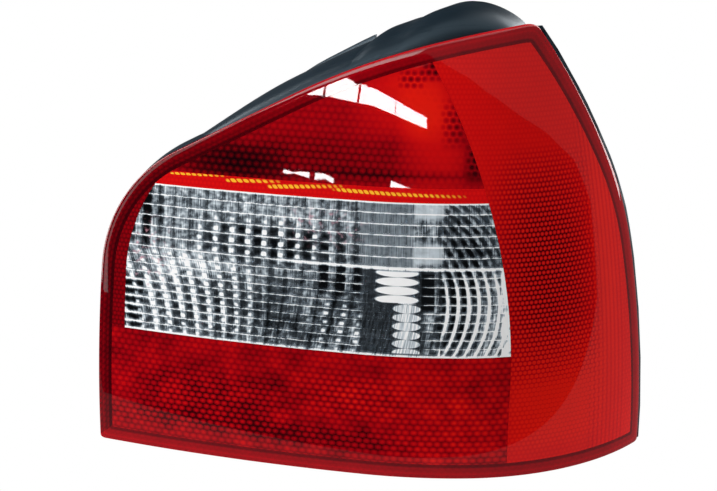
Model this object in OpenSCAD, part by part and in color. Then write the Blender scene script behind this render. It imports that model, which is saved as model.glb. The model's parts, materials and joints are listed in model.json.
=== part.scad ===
// Rear lamp cluster for the right-hand corner of a hatchback.
// The lens faces -Y and wraps round towards +X, the studs point to +Y, and +Z is up.
// Sections are drawn from the lens's bottom inner corner. Each node then moves to the upper stud's seat.

/* [Lens face] */
// Length of the nearly flat rear face along its bottom edge
rear_length = 155; // [130:1:180]
// Plan radius of the rear face
rear_radius = 910; // [700:10:1400]
// Slant of the rear face at its inner end, in plan
rear_angle = 5.4; // [3:0.1:8]
// Length of the blend between the rear face and the corner
blend_length = 56; // [40:1:70]
// Plan radius of the blend
blend_radius = 226; // [190:2:300]
// Plan radius of the corner that wraps round the car
corner_radius = 132; // [122:1:150]
// Radius of the lens face from bottom to top
crown_radius = 620; // [500:10:1200]
// Height at which the face stands furthest out
crown_height = 15; // [0:1:40]
// Wall of the lens
lens_wall = 3; // [2:0.1:4]

/* [Lens outline] */
// Height of the crest that the top edge rises to
lens_height = 239; // [225:1:250]
// Lean of the inner edge from upright
edge_lean = 1.35; // [0:0.05:3]
// Height of the shoulder arc's centre
shoulder_height = 100; // [90:1:108]
// Radius of the shoulder
shoulder_radius = 75; // [60:1:90]
// Slope of the straight part of the top edge
top_slope = 28.6; // [26:0.2:32]
// Radius of the crest of the top edge
crest_radius = 330; // [280:5:400]
// Depth of the lens's outer edge at the bottom
side_depth = 138.5; // [132:0.5:145]
// Lean of the lower part of the outer edge
side_lean = 1.5; // [0:0.1:4]
// Height at which the outer edge starts to bend forwards
side_bend_height = 115; // [100:1:130]
// Radius of that bend
side_bend_radius = 200; // [150:5:260]
// Rake of the upper part of the outer edge
side_rake = 15.5; // [12:0.5:19]

/* [Clear window] */
// Bottom of the clear window
window_bottom = 68.3; // [60:0.1:76]
// Top of the clear window
window_top = 148.5; // [142:0.1:154]
// Height of the wall between reversing and indicator chambers
window_split = 115; // [108:0.5:120]
// Inner end of the window at the bottom
window_start = 17.8; // [16:0.1:24]
// Radius of the window's curved inner end
window_end_radius = 89; // [80:1:100]
// Place of the line where the wraparound band starts, at the bottom
band_foot = 222; // [214:0.5:226]
// Height above which the band's line curves inwards
band_bend_height = 50; // [40:1:60]
// Radius of the band's line
band_radius = 300; // [270:5:340]
// Number of flutes in the indicator part of the window
turn_flutes = 6; // [4:1:8]
// Number of flutes in the reversing part of the window
reverse_flutes = 10; // [6:1:12]
// How far the flutes stand in from the lens wall
flute_height = 0.9; // [0.4:0.1:1.3]

/* [Lens rim and sealing channel] */
// Overhang of the lens face past its skirt
rim_overhang = 5.5; // [5:0.1:6]
// Thickness of the skirt
skirt_wall = 2.5; // [2:0.1:3]
// Depth of the skirt's end behind the lens face
skirt_depth = 15; // [12:0.5:16]
// Step from the lens's edge in to the housing's outer lip
lip_inset = 1.5; // [1:0.1:2]
// Thickness of the housing's outer lip
lip_wall = 2; // [1.6:0.1:2.4]
// Width of the sealing groove
groove_width = 6.5; // [6:0.1:7]
// Depth of the sealing groove's floor behind the lens face
groove_depth = 18; // [17:0.5:20]
// Reach of the housing's flange past the lens's outer edge
side_flange = 2.6; // [2:0.1:4]
// Gap between the lens and the housing's lip
lens_gap = 0.6; // [0.3:0.1:1]
// Fit of the sealing bead in its groove
bead_gap = 0.1; // [0.05:0.01:0.2]

/* [Housing] */
// Distance from the lens's outer edge forward to the flat seat face
seat_setback = 20.5; // [14:0.5:24]
// Inner-to-outer extent of the flat seat face
seat_width = 216; // [213:0.5:220]
// Reach of the wing past the lens's outer edge
wing_reach = 8.5; // [5.5:0.5:13]
// Where the wing reaches its full depth
wing_start = 240; // [236:0.5:246]
// Wall of the housing
housing_wall = 2.2; // [1.8:0.1:2.8]
// Step from the lens's edge in to the housing's side walls
tub_inset = 7; // [6:0.1:8]
// Height of the roll along the sloped top edge
roll_height = 13; // [10:0.5:16]
// Height of the hump at the outer end of the top edge
hump_height = 18; // [14:0.5:20]
// Where the hump starts
hump_start = 130; // [124:1:136]
// Where the hump ends
hump_end = 202; // [196:0.5:206]
// Height of the seat flange's edge above the roll
flange_step = 3.5; // [2:0.5:5]
// Where the seat flange's raised edge ends
flange_end = 114; // [105:1:120]

/* [Reflector] */
// Depth of the reflector's front plate behind the lens face
plate_depth = 6; // [5.5:0.1:7]
// Thickness of the reflector's walls
reflector_wall = 2; // [1.6:0.1:2.4]
// Step from the lens's edge in to the chambers
chamber_inset = 14.5; // [14:0.1:16]
// Distance from the seat face to the bottom of the chambers' troughs
trough_back = 26; // [24:0.5:32]
// Focal length of the troughs' curve
trough_focus = 4; // [3:0.1:6]
// Distance from the seat face to the bottom of the bowls round the bulbs
bowl_back = 18; // [16:0.5:21]
// Focal length of the bowls
bowl_focus = 22; // [16:0.5:26]
// Radius of the bulb holes
bulb_hole_radius = 14; // [13.2:0.1:15]

/* [Bulbs] */
// Radius of a 21 W bulb's glass
large_bulb_radius = 12.5; // [12:0.1:13]
// Length of a 21 W bulb's glass past its cap
large_bulb_length = 33; // [30:0.5:35]
// Radius of a 5 W bulb's glass
small_bulb_radius = 9.5; // [9:0.1:10]
// Length of a 5 W bulb's glass past its cap
small_bulb_length = 20; // [19.5:0.5:23]
// Wall of a bulb's glass
glass_wall = 0.8; // [0.6:0.1:1.2]
// Radius of the bulbs' metal cap
cap_radius = 7.5; // [7.2:0.1:7.8]
// Length of the bulbs' metal cap
cap_length = 18; // [16:0.5:18.5]

/* [Bulb carrier] */
// Thickness of the carrier's plate
carrier_wall = 2.5; // [2:0.1:3]
// Inner edge of the carrier
carrier_left = 60; // [57:0.5:62]
// Outer edge of the carrier
carrier_right = 192; // [190.5:0.5:192.5]
// Bottom edge of the carrier
carrier_bottom = 20; // [17:0.5:21]
// Top edge of the carrier
carrier_top = 199; // [198:0.5:202]
// Height at which the carrier's corner cut starts
carrier_cut_height = 153.5; // [152:0.5:155]
// Where the carrier's corner cut ends along its top edge
carrier_cut_end = 136; // [133:0.5:138]
// How far the carrier laps over its opening
carrier_lap = 5; // [4:0.1:5.5]
// Thickness of the carrier's seal
seal_thickness = 1.5; // [1:0.1:2.5]
// Wall of the bulb holders
holder_wall = 3; // [2.4:0.1:3.2]
// Length of the holders behind the carrier's plate
holder_back = 4; // [3:0.1:6]
// Width of the connector socket, outside
socket_width = 42; // [40:0.5:44]
// Height of the connector socket, outside
socket_height = 20; // [18:0.5:21]
// Length of the connector socket
socket_length = 20; // [18:0.5:24]
// Wall of the connector socket
socket_wall = 1.8; // [1.4:0.1:2]
// Pitch of the contact blades
blade_pitch = 6; // [5.6:0.1:6.2]
// Width of the contact strips
strip_width = 4; // [3:0.1:4.2]
// Thickness of the contact strips
strip_wall = 0.8; // [0.6:0.1:1]
// Length of the contact blades
blade_length = 14; // [12:0.5:16]

/* [Mounting] */
// Diameter of the mounting studs' thread
stud_diameter = 6; // [5:1:8]
// Length of the studs past their seats
stud_length = 22; // [18:1:30]
// Radius of the bosses that hold the studs
boss_radius = 7; // [6.5:0.1:7.2]
// Height of the bosses' seats above the housing's back
boss_height = 4; // [3:0.1:6]
// Width of the foam gasket
gasket_width = 6; // [5:0.1:6.5]
// Thickness of the foam gasket
gasket_thickness = 6; // [5:0.5:8]

/* [Hidden] */
$fn = 96;

// Bulb places as [x, z], where the sections are drawn
BRAKE = [124, 172];
TAIL = [172, 180];
TURN = [92, 131];
REVERSE = [172, 92];
FOG = [85, 37];
HOLDERS = [BRAKE, TAIL, TURN, REVERSE, FOG];

// Stud places as [x, z]; the upper one is the datum
UPPER_STUD = [44, 138];
STUDS = [UPPER_STUD, [30, 30], [200, 40]];
VENT = [34, 84];

// Connector socket's centre, and the height at which the contact blades stand in it
SOCKET = [155, 33];
blade_height = SOCKET[1] - 4;

// Margins that tools reach past what they cut
over = 1;
far_out = 170;
outline_end = 300;
arc_steps = 14;
face_bands = 9;
z_low = -8;
z_high = lens_height + 12;

seat_depth = side_depth - seat_setback;
wing_depth = side_depth + wing_reach;
trough_depth = seat_depth - trough_back;
bowl_depth = seat_depth - bowl_back;
seat = [UPPER_STUD[0], seat_depth + boss_height, UPPER_STUD[1]];
carrier_front = seat_depth + seal_thickness;
carrier_back = carrier_front + carrier_wall;
lip_end = lip_inset + lip_wall;
groove_end = lip_end + groove_width;
plate_back = plate_depth + reflector_wall;
divider = reflector_wall / 2;
roll_ridge = 0.62;
spare = 0.3;

// The lens face in plan: three arcs that run on into each other, as [centre, radius, start, end]
function outward(a) = [sin(a), -cos(a)];
function turned(length, radius) = length / radius * 180 / PI;
blend_angle = rear_angle + turned(rear_length, rear_radius);
corner_angle = blend_angle + turned(blend_length, blend_radius);
run_out = 1;
corner_end = 100;
rear_steps = 5;
blend_steps = 4;
corner_steps = 14;
rear_centre = -rear_radius * outward(rear_angle);
blend_centre = rear_centre + (rear_radius - blend_radius) * outward(blend_angle);
corner_centre = blend_centre + (blend_radius - corner_radius) * outward(corner_angle);
ARCS = [
    [rear_centre, rear_radius, rear_angle - run_out, blend_angle],
    [blend_centre, blend_radius, blend_angle, corner_angle],
    [corner_centre, corner_radius, corner_angle, corner_end]
];

// Places along the plan as [centre, radius, angle], close enough that the face reads as smooth
function places(arc, steps, first) = [for (k = [first:steps]) [arc[0], arc[1], arc[2] + (arc[3] - arc[2]) * k / steps]];
STATIONS = concat(places(ARCS[0], rear_steps, 0), places(ARCS[1], blend_steps, 1), places(ARCS[2], corner_steps, 1));

// How far the face has leaned back at a height, by the crown's circle
function lean(z) = crown_radius - sqrt(pow(crown_radius, 2) - pow(z - crown_height, 2));

// Depth of the lens face, or of a surface further in, at a place in the front view
function arc_turn(arc, x, z, depth) = asin((x - arc[0][0]) / (arc[1] - lean(z) - depth));
function face_arc(x, z, depth) =
    arc_turn(ARCS[0], x, z, depth) <= blend_angle ? ARCS[0]
    : arc_turn(ARCS[1], x, z, depth) <= corner_angle ? ARCS[1] : ARCS[2];
function face_depth(x, z, depth = 0) =
    let (arc = face_arc(x, z, depth)) arc[0][1] - (arc[1] - lean(z) - depth) * cos(arc_turn(arc, x, z, depth));

function arc_points(centre, radius, from, to, steps = arc_steps) =
    [for (k = [0:steps]) let (a = from + (to - from) * k / steps) centre + radius * [cos(a), sin(a)]];

// The outline in the front view: shoulder, slope and crest, all tangent
shoulder_centre = [(shoulder_radius + shoulder_height * sin(edge_lean)) / cos(edge_lean), shoulder_height];
slope_normal = [-sin(top_slope), cos(top_slope)];
slope_start = shoulder_centre + shoulder_radius * slope_normal;
crest_z = lens_height - crest_radius;
slope_run = (crest_z + crest_radius * cos(top_slope) - slope_start[1]) / sin(top_slope);
crest_centre = slope_start + slope_run * [cos(top_slope), sin(top_slope)] - crest_radius * slope_normal;
crest_stop = acos((outline_end - crest_centre[0]) / crest_radius);

function front_outline(inset) = concat(
    [[(inset + inset * sin(edge_lean)) / cos(edge_lean), inset]],
    arc_points(shoulder_centre, shoulder_radius - inset, 180 - edge_lean, 90 + top_slope),
    arc_points(crest_centre, crest_radius - inset, 90 + top_slope, crest_stop),
    [[outline_end, inset]]
);

// Height of the top edge over a place in the front view
function edge_height(x) =
    x < slope_start[0] ? shoulder_centre[1] + sqrt(pow(shoulder_radius, 2) - pow(x - shoulder_centre[0], 2))
    : x < crest_centre[0] + crest_radius * slope_normal[0]
        ? slope_start[1] + (x - slope_start[0]) * tan(top_slope)
        : crest_centre[1] + sqrt(pow(crest_radius, 2) - pow(x - crest_centre[0], 2));

// The outer edge in the side view, as [depth, height]
bend_start = [side_depth - side_bend_height * tan(side_lean), side_bend_height];
bend_centre = bend_start - side_bend_radius * [cos(side_lean), sin(side_lean)];

function side_outline(inset) =
    let (
        bend = arc_points(bend_centre, side_bend_radius - inset, side_lean, side_rake),
        foot = bend[0],
        top = bend[arc_steps]
    ) concat(
        [[foot[0] + (foot[1] - z_low) * tan(side_lean), z_low]],
        bend,
        [[top[0] - (z_high - top[1]) * tan(side_rake), z_high]],
        [[-far_out, z_high], [-far_out, z_low]]
    );

// The line where the wraparound band starts, and the window's two curved ends
band_centre = [band_foot - band_radius, band_bend_height];
function band_place(z, inset = 0) =
    z < band_bend_height ? band_foot - inset
    : band_centre[0] + sqrt(pow(band_radius - inset, 2) - pow(z - band_bend_height, 2));
window_end_centre = [window_start + window_end_radius, shoulder_height];
function window_end(z) =
    z < shoulder_height ? window_start
    : window_end_centre[0] - sqrt(pow(window_end_radius, 2) - pow(z - shoulder_height, 2));
function heights(low, high, steps = arc_steps) = [for (k = [0:steps]) low + (high - low) * k / steps];

// Depth of the flutes behind the lens wall at a height
function flute(z, low, high, count) =
    let (u = (z - low) / (high - low) * count, v = 2 * (u - floor(u)) - 1) flute_height * (1 - v * v);
function flute_depth(z) =
    z <= window_bottom || z >= window_top ? 0
    : z < window_split ? flute(z, window_bottom, window_split, reverse_flutes)
    : flute(z, window_split, window_top, turn_flutes);
flute_steps = 3;
turn_rows = heights(window_split, window_top, turn_flutes * flute_steps);
WINDOW_ROWS = concat(
    heights(window_bottom, window_split, reverse_flutes * flute_steps),
    [for (k = [1:len(turn_rows) - 1]) turn_rows[k]]
);
window_columns = 14;

// Turns a front-view shape into a solid from one depth to another
module along_y(from, to) translate([0, to, 0]) rotate([90, 0, 0]) linear_extrude(to - from) children();

// Turns a side-view shape into a solid across the lamp
module along_x(from, to) translate([from, 0, 0]) rotate([90, 0, 90]) linear_extrude(to - from) children();

// A round bar along Y
module bar_y(place, radius, from, to) translate([place[0], to, place[1]]) rotate([90, 0, 0])
    cylinder(r = radius, h = to - from);

// A box from one corner to the other
module block(low, high) translate(low) cube(high - low);

module placed() translate(-seat) children();

// A closed solid between two grids of points, the first one outermost
module slab(outer, inner, columns, rows) {
    count = columns * rows;
    function at(i, k) = i * rows + k;
    sheet = [for (i = [0:columns - 2]) for (k = [0:rows - 2]) each [
        [at(i, k), at(i, k + 1), at(i + 1, k + 1)], [at(i, k), at(i + 1, k + 1), at(i + 1, k)]
    ]];
    rim = concat(
        [for (k = [0:rows - 2]) [at(0, k), at(0, k + 1)]],
        [for (i = [0:columns - 2]) [at(i, rows - 1), at(i + 1, rows - 1)]],
        [for (k = [rows - 1:-1:1]) [at(columns - 1, k), at(columns - 1, k - 1)]],
        [for (i = [columns - 1:-1:1]) [at(i, 0), at(i - 1, 0)]]
    );
    faces = concat(
        sheet,
        [for (f = sheet) [f[2] + count, f[1] + count, f[0] + count]],
        [for (e = rim) each [[e[1], e[0], e[0] + count], [e[1], e[0] + count, e[1] + count]]]
    );
    polyhedron(concat(outer, inner), faces);
}

// The stretch of space between two depths behind the lens face
module layer(from, to) {
    zs = heights(z_low, z_high, face_bands);
    function sheet(depth) = [for (s = STATIONS) for (z = zs)
        let (p = s[0] + (s[1] - lean(z) - depth) * outward(s[2])) [p[0], p[1], z]];
    slab(sheet(from), sheet(to), len(STATIONS), face_bands + 1);
}

// All that lies inside the outline by a step, over the lamp's whole depth
module inside(step, side_step) {
    intersection() {
        along_y(-far_out / 2, wing_depth + over) polygon(front_outline(step));
        along_x(-over, outline_end) polygon(side_outline(side_step));
    }
}

// The space behind a depth, as far as the housing's back
module behind(depth, back_step) {
    difference() {
        translate([0, 0, z_low]) linear_extrude(z_high - z_low) polygon([
            [-over, 0], [-over, seat_depth - back_step],
            [seat_width - back_step / 2, seat_depth - back_step],
            [wing_start - back_step / 2, wing_depth - back_step],
            [outline_end, wing_depth - back_step], [outline_end, 0]
        ]);
        layer(-far_out, depth);
    }
}

module window_prism() along_y(-far_out / 2, seat_depth) polygon(concat(
    [for (z = WINDOW_ROWS) [window_end(z), z]],
    [for (k = [len(WINDOW_ROWS) - 1:-1:0]) [band_place(WINDOW_ROWS[k]), WINDOW_ROWS[k]]]
));

// The space of the skirt all round the lens, grown by a fit
module skirt_ring(grow) difference() {
    inside(rim_overhang - grow, rim_overhang - grow);
    inside(rim_overhang + skirt_wall + grow, rim_overhang + skirt_wall + grow);
}

// Red lens: face, rim and the skirt that dips into the sealing groove
module red_lens() color("#c80a10") placed() difference() {
    intersection() {
        layer(0, skirt_depth);
        inside(0, 0);
    }
    difference() {
        layer(lens_wall, skirt_depth + over);
        skirt_ring(0);
    }
    window_prism();
}

// Clear window with its flutes
function window_place(z, i) = window_end(z) + (band_place(z) - window_end(z)) * i / window_columns;
function window_sheet(depth, fluted) = [for (i = [0:window_columns]) for (z = WINDOW_ROWS)
    let (x = window_place(z, i)) [x, face_depth(x, z, depth + fluted * flute_depth(z)), z]];
module clear_lens() color("#dfe6ea", 0.6) placed()
    slab(window_sheet(0, 0), window_sheet(lens_wall, 1), window_columns + 1, len(WINDOW_ROWS));

// Bead of sealant in the groove, round the end of the skirt
module lens_seal() color("#202224") placed() difference() {
    intersection() {
        layer(skirt_depth - 2, groove_depth - bead_gap);
        inside(lip_end + bead_gap, lip_end + bead_gap);
    }
    inside(groove_end - bead_gap, groove_end - bead_gap);
    intersection() {
        layer(0, skirt_depth + bead_gap);
        skirt_ring(bead_gap);
    }
}

// Height of the housing's top above the lens edge: a long roll, then a hump
function ease(u) = let (v = min(1, max(0, u))) v * v * (3 - 2 * v);
function roll(x) = roll_height * ease((x - 4) / 80) * (1 - ease((x - hump_start + 4) / 26));
function hump(x) =
    let (u = min(1, max(0, (x - hump_start) / (hump_end - hump_start)))) hump_height * pow(sin(180 * pow(u, 0.9)), 0.8);
function raise(x) = roll(x) + hump(x);
fairing_start = 12;
fairing_columns = 36;
fairing_rows = 6;
fairing_base = 16;
function fairing_share(k) = k > fairing_rows ? 1 : roll_ridge * (1 - cos(90 * k / fairing_rows));
function fairing_rise(k) = k > fairing_rows ? 1 : sin(90 * k / fairing_rows);

// The housing's top as a closed form between its edge and its back, lowered by a wall
module fairing(wall, start_step) {
    xs = heights(fairing_start + wall, hump_end - wall, fairing_columns);
    rows = fairing_rows + 2;
    back = seat_depth - wall;
    top = [for (x = xs) let (z = edge_height(x), front = min(face_depth(x, z) + start_step, back - 2))
        for (k = [0:rows - 1]) [
            x, front + (back - front) * fairing_share(k), z - lip_inset - wall + raise(x) * fairing_rise(k)
        ]];
    base = [for (p = top) [p[0], p[1], edge_height(p[0]) - fairing_base]];
    slab(top, base, fairing_columns + 1, rows);
}

// Raised edge of the seat flange behind the roll
module flange_edge() {
    xs = heights(fairing_start, flange_end, arc_steps);
    along_y(seat_depth - housing_wall, seat_depth) polygon(concat(
        [for (x = xs) [x, edge_height(x) - lip_inset + raise(x) + flange_step * ease((x - fairing_start) / 30)]],
        [for (k = [arc_steps:-1:0]) [xs[k], edge_height(xs[k]) - fairing_base]]
    ));
}

// Sealing channel round the lens
module channel() difference() {
    intersection() {
        layer(lens_gap, groove_depth + housing_wall);
        inside(lip_inset, -side_flange);
    }
    intersection() {
        layer(-over, lens_wall + lens_gap);
        inside(-over, -spare);
    }
    difference() {
        intersection() {
            layer(0, groove_depth);
            inside(lip_end, lip_end);
        }
        inside(groove_end, groove_end);
    }
    intersection() {
        layer(0, plate_back);
        inside(groove_end - over, groove_end - over);
    }
    inside(groove_end + housing_wall, groove_end + housing_wall);
}

carrier_cut = atan2(carrier_top - carrier_cut_height, carrier_cut_end - carrier_left);

function carrier_outline(step) = [
    [carrier_left + step, carrier_bottom + step],
    [carrier_right - step, carrier_bottom + step],
    [carrier_right - step, carrier_top - step],
    [carrier_cut_end + step * tan(carrier_cut / 2), carrier_top - step],
    [carrier_left + step, carrier_cut_height - step * tan(45 - carrier_cut / 2)]
];

// Hooks that snap over the carrier's edge, as [x, z, direction]
HOOKS = [
    [carrier_left, 60, 180], [carrier_left, 120, 180], [carrier_right, 75, 0], [carrier_right, 150, 0],
    [110, carrier_bottom, 270], [165, carrier_top, 90]
];
hook_width = 9;
hook_wall = 2.4;

module hook(place) translate([place[0], 0, place[1]]) rotate([0, -place[2], 0]) {
    block([spare, seat_depth - over, -hook_width / 2], [spare + hook_wall, carrier_back + 3, hook_width / 2]);
    block([-1.4, carrier_back + spare, -hook_width / 2], [spare + hook_wall, carrier_back + 3, hook_width / 2]);
}

// Dark housing: channel, side walls, stepped back, top roll and hump, bosses and hooks
module housing() color("#2b3036") placed() {
    difference() {
        union() {
            channel();
            intersection() {
                behind(groove_depth + over, 0);
                inside(tub_inset, -side_flange);
            }
            difference() {
                fairing(0, lens_wall + lens_gap);
                layer(-far_out, lens_wall + lens_gap);
                intersection() {
                    layer(-far_out, groove_depth + over);
                    inside(lip_inset + over, over - side_flange);
                }
            }
            flange_edge();
            for (s = STUDS) bar_y(s, boss_radius, seat_depth - 14, seat_depth + boss_height);
            bar_y(VENT, 3.5, seat_depth - over, seat_depth + 7);
            for (h = HOOKS) hook(h);
        }
        difference() {
            intersection() {
                behind(groove_depth + housing_wall, housing_wall);
                inside(tub_inset + housing_wall, housing_wall - side_flange);
            }
            for (s = STUDS) bar_y(s, boss_radius, seat_depth - 14, seat_depth);
        }
        intersection() {
            layer(-over, groove_depth + housing_wall + over);
            inside(groove_end + housing_wall, groove_end + housing_wall);
        }
        fairing(housing_wall, groove_depth + housing_wall);
        along_y(seat_depth - 2 * housing_wall, seat_depth + over) polygon(carrier_outline(carrier_lap));
        for (s = STUDS) stud_pocket(s);
        bar_y(VENT, 2, seat_depth - 2 * housing_wall, seat_depth + 9);
    }
}

// Studs with a square head and a thicker shank held in the boss
head_size = 9;
head_thickness = 4;
head_back = 9;
shank_radius = stud_diameter / 2 + 0.6;
pocket_end = seat_depth - 14 - over;
seat_end = seat_depth + boss_height;

module stud_pocket(s) {
    bar_y(s, shank_radius + spare, seat_depth - head_back - over, seat_end + over);
    block(
        [s[0] - head_size / 2 - spare, pocket_end, s[1] - head_size / 2 - spare],
        [s[0] + head_size / 2 + spare, seat_depth - head_back + spare, s[1] + head_size / 2 + spare]
    );
}

module mounting_studs() color("#b9b8a8") placed() for (s = STUDS) {
    bar_y(s, shank_radius, seat_depth - head_back - over, seat_end);
    bar_y(s, stud_diameter / 2, seat_end - over, seat_end + stud_length);
    block(
        [s[0] - head_size / 2, seat_depth - head_back - head_thickness, s[1] - head_size / 2],
        [s[0] + head_size / 2, seat_depth - head_back, s[1] + head_size / 2]
    );
}

// Chambers of the reflector as [bottom, top, bulb place]
CHAMBERS = [
    [-over, window_bottom, FOG],
    [window_bottom, window_split, REVERSE],
    [window_split, window_top, TURN],
    [window_top, lens_height, BRAKE]
];

function chamber_middle(c) = c[2][1];

// The space of one chamber, grown by a wall
module chamber_space(c, grow) intersection() {
    inside(chamber_inset - grow, chamber_inset - grow);
    along_y(0, bowl_depth + reflector_wall + over) polygon(concat(
        [[0, c[0] + divider - grow], [band_place(c[0], chamber_inset - grow), c[0] + divider - grow]],
        [for (z = heights(c[0] + divider - grow, c[1] - divider + grow)) [band_place(z) - 4 + grow, z]],
        [[0, c[1] - divider + grow]]
    ));
    union() {
        trough(c, grow);
        bowl(c[2], grow);
        if (c[2] == BRAKE) bowl(TAIL, grow);
    }
}

trough_reach = 0.3 * lens_height;
bowl_reach = lens_height / 3;
module trough(c, grow) {
    zs = heights(-trough_reach, trough_reach, 20);
    mouth = trough_depth - pow(trough_reach, 2) / (2 * trough_focus);
    along_x(0, outline_end) polygon(concat(
        [for (z = zs) [trough_depth + grow - z * z / (4 * trough_focus), chamber_middle(c) + z]],
        [[mouth, chamber_middle(c) + trough_reach], [mouth, chamber_middle(c) - trough_reach]]
    ));
}

module bowl(place, grow) translate([place[0], 0, place[1]]) rotate([90, 0, 0])
    rotate_extrude() polygon(concat(
        [[0, -bowl_depth - grow]],
        [for (k = [1:16]) let (r = bowl_reach * k / 16) [r, -bowl_depth - grow + r * r / (4 * bowl_focus)]],
        [[bowl_reach, 0], [0, 0]]
    ));

// Metallised reflector: a front plate that follows the lens, and four chambers
module reflector() color("#c9ccd0") placed() difference() {
    union() {
        intersection() {
            layer(plate_depth, plate_back);
            inside(groove_end + spare, groove_end + spare);
        }
        difference() {
            for (c = CHAMBERS) chamber_space(c, reflector_wall);
            layer(-far_out, plate_depth);
        }
    }
    for (c = CHAMBERS) chamber_space(c, 0);
    for (p = HOLDERS) bar_y(p, bulb_hole_radius, bowl_depth - 14, seat_depth);
}

// Glass of a bulb, as a hollow pear round the Y axis
module bulb_glass(place, radius, length) {
    neck = cap_radius - 0.7;
    foot = -2;
    middle = length - radius;
    translate([place[0], bowl_depth, place[1]]) rotate([90, 0, 0]) rotate_extrude() polygon(concat(
        [[neck - glass_wall, foot], [neck, foot], [neck, 1]],
        arc_points([0, middle], radius, -40, 90),
        arc_points([0, middle], radius - glass_wall, 90, -40),
        [[neck - glass_wall, 1]]
    ));
}

// Metal cap of a bulb, with its two side pins and its end contact
module bulb_cap(place) {
    cup = 2.2;
    difference() {
        union() {
            bar_y(place, cap_radius, bowl_depth, bowl_depth + cap_length);
            bar_y(place, 2.4, bowl_depth + cap_length - over, bowl_depth + cap_length + 1.2);
            translate([place[0], bowl_depth + 7, place[1]]) rotate([0, 90, 0])
                cylinder(r = 1, h = 2 * (cap_radius + 1), center = true);
        }
        bar_y(place, cap_radius - 0.6, bowl_depth - over, bowl_depth + cup);
    }
}

module clear_glass() color("#eef2f4", 0.5) placed() children();
module amber_glass() color("#ee8a10", 0.7) placed() children();
module bulb_metal() color("#b8b4a4") placed() children();

module brake_bulb_glass() clear_glass() bulb_glass(BRAKE, large_bulb_radius, large_bulb_length);
module tail_bulb_glass() clear_glass() bulb_glass(TAIL, small_bulb_radius, small_bulb_length);
module turn_bulb_glass() amber_glass() bulb_glass(TURN, large_bulb_radius, large_bulb_length);
module reverse_bulb_glass() clear_glass() bulb_glass(REVERSE, large_bulb_radius, large_bulb_length);
module fog_bulb_glass() clear_glass() bulb_glass(FOG, large_bulb_radius, large_bulb_length);
module brake_bulb_cap() bulb_metal() bulb_cap(BRAKE);
module tail_bulb_cap() bulb_metal() bulb_cap(TAIL);
module turn_bulb_cap() bulb_metal() bulb_cap(TURN);
module reverse_bulb_cap() bulb_metal() bulb_cap(REVERSE);
module fog_bulb_cap() bulb_metal() bulb_cap(FOG);

// Bulb carrier: plate, five holders and the connector socket
holder_front = bowl_depth + 3;
holder_bore = cap_radius + spare;
holder_radius = holder_bore + holder_wall;
socket_low = [SOCKET[0] - socket_width / 2, SOCKET[1] - socket_height / 2];
socket_high = SOCKET + [socket_width / 2, socket_height / 2];

module bulb_carrier() color("#d8d4c6") placed() difference() {
    union() {
        along_y(carrier_front, carrier_back) polygon(carrier_outline(0));
        along_y(carrier_front - 3, carrier_front + over) difference() {
            polygon(carrier_outline(carrier_lap + spare));
            polygon(carrier_outline(carrier_lap + spare + carrier_wall));
        }
        for (p = HOLDERS) bar_y(p, holder_radius, holder_front, carrier_back + holder_back);
        block([socket_low[0], carrier_front, socket_low[1]], [socket_high[0], carrier_back + socket_length, socket_high[1]]);
    }
    for (p = HOLDERS) {
        bar_y(p, holder_bore, holder_front - over, carrier_back + holder_back - carrier_wall);
        block(
            [p[0] - cap_radius - 1.5, holder_front - over, p[1] - 1.3],
            [p[0] + cap_radius + 1.5, bowl_depth + 8.3, p[1] + 1.3]
        );
    }
    block(
        [socket_low[0] + socket_wall, carrier_back, socket_low[1] + socket_wall],
        [socket_high[0] - socket_wall, carrier_back + socket_length + over, socket_high[1] - socket_wall]
    );
    for (k = [0:5]) block(
        [blade_place(k) - strip_width / 2 - spare, carrier_back - over / 2, socket_high[1] - socket_wall - over],
        [blade_place(k) + strip_width / 2 + spare, carrier_back + strip_wall + spare, socket_high[1] + over]
    );
}

// Foam seal between the carrier and the housing
module carrier_seal() color("#3a3c3e") placed() along_y(seat_depth, carrier_front) difference() {
    polygon(carrier_outline(0));
    polygon(carrier_outline(carrier_lap));
}

// Place of a contact blade along the socket, counted from its inner end
function blade_place(k) = SOCKET[0] + (k - 2.5) * blade_pitch;

// A flat strip on the carrier's back along a path of [x, z] places
module track(path) for (k = [0:len(path) - 2]) {
    half = strip_width / 2;
    low = [min(path[k][0], path[k + 1][0]) - half, min(path[k][1], path[k + 1][1]) - half];
    high = [max(path[k][0], path[k + 1][0]) + half, max(path[k][1], path[k + 1][1]) + half];
    block([low[0], carrier_back, low[1]], [high[0], carrier_back + strip_wall, high[1]]);
}

// A strip with its blade in the socket, cut back round the bulb holders
module strip(k, path) color("#c9a24a") placed() {
    x = blade_place(k);
    difference() {
        track(concat([[x, blade_height + strip_width / 2]], path));
        for (p = HOLDERS) bar_y(p, holder_radius + 0.1, carrier_back - over, carrier_back + 2);
    }
    block(
        [x - strip_width / 2, carrier_back, blade_height],
        [x + strip_width / 2, carrier_back + blade_length, blade_height + strip_wall]
    );
}

// The feeds run straight up from their blades, cross below the bulb holder and end on it
strip_exit = SOCKET[1] + 18;
strip_landing = holder_bore + spare;
turn_cross = TURN[1] - 17;
brake_cross = BRAKE[1] - 17;
tail_cross = TAIL[1] - 19;
reverse_cross = REVERSE[1] - 22;
module feed_strip(k, bulb, cross) strip(k, [[blade_place(k), cross], [bulb[0], cross], [bulb[0], bulb[1] - strip_landing]]);
module fog_strip() strip(0, [[blade_place(0), strip_exit], [FOG[0], strip_exit], [FOG[0], FOG[1] + strip_landing]]);
module turn_strip() feed_strip(1, TURN, turn_cross);
module brake_strip() feed_strip(2, BRAKE, brake_cross);
module tail_strip() feed_strip(3, TAIL, tail_cross);
module reverse_strip() feed_strip(4, REVERSE, reverse_cross);

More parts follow.
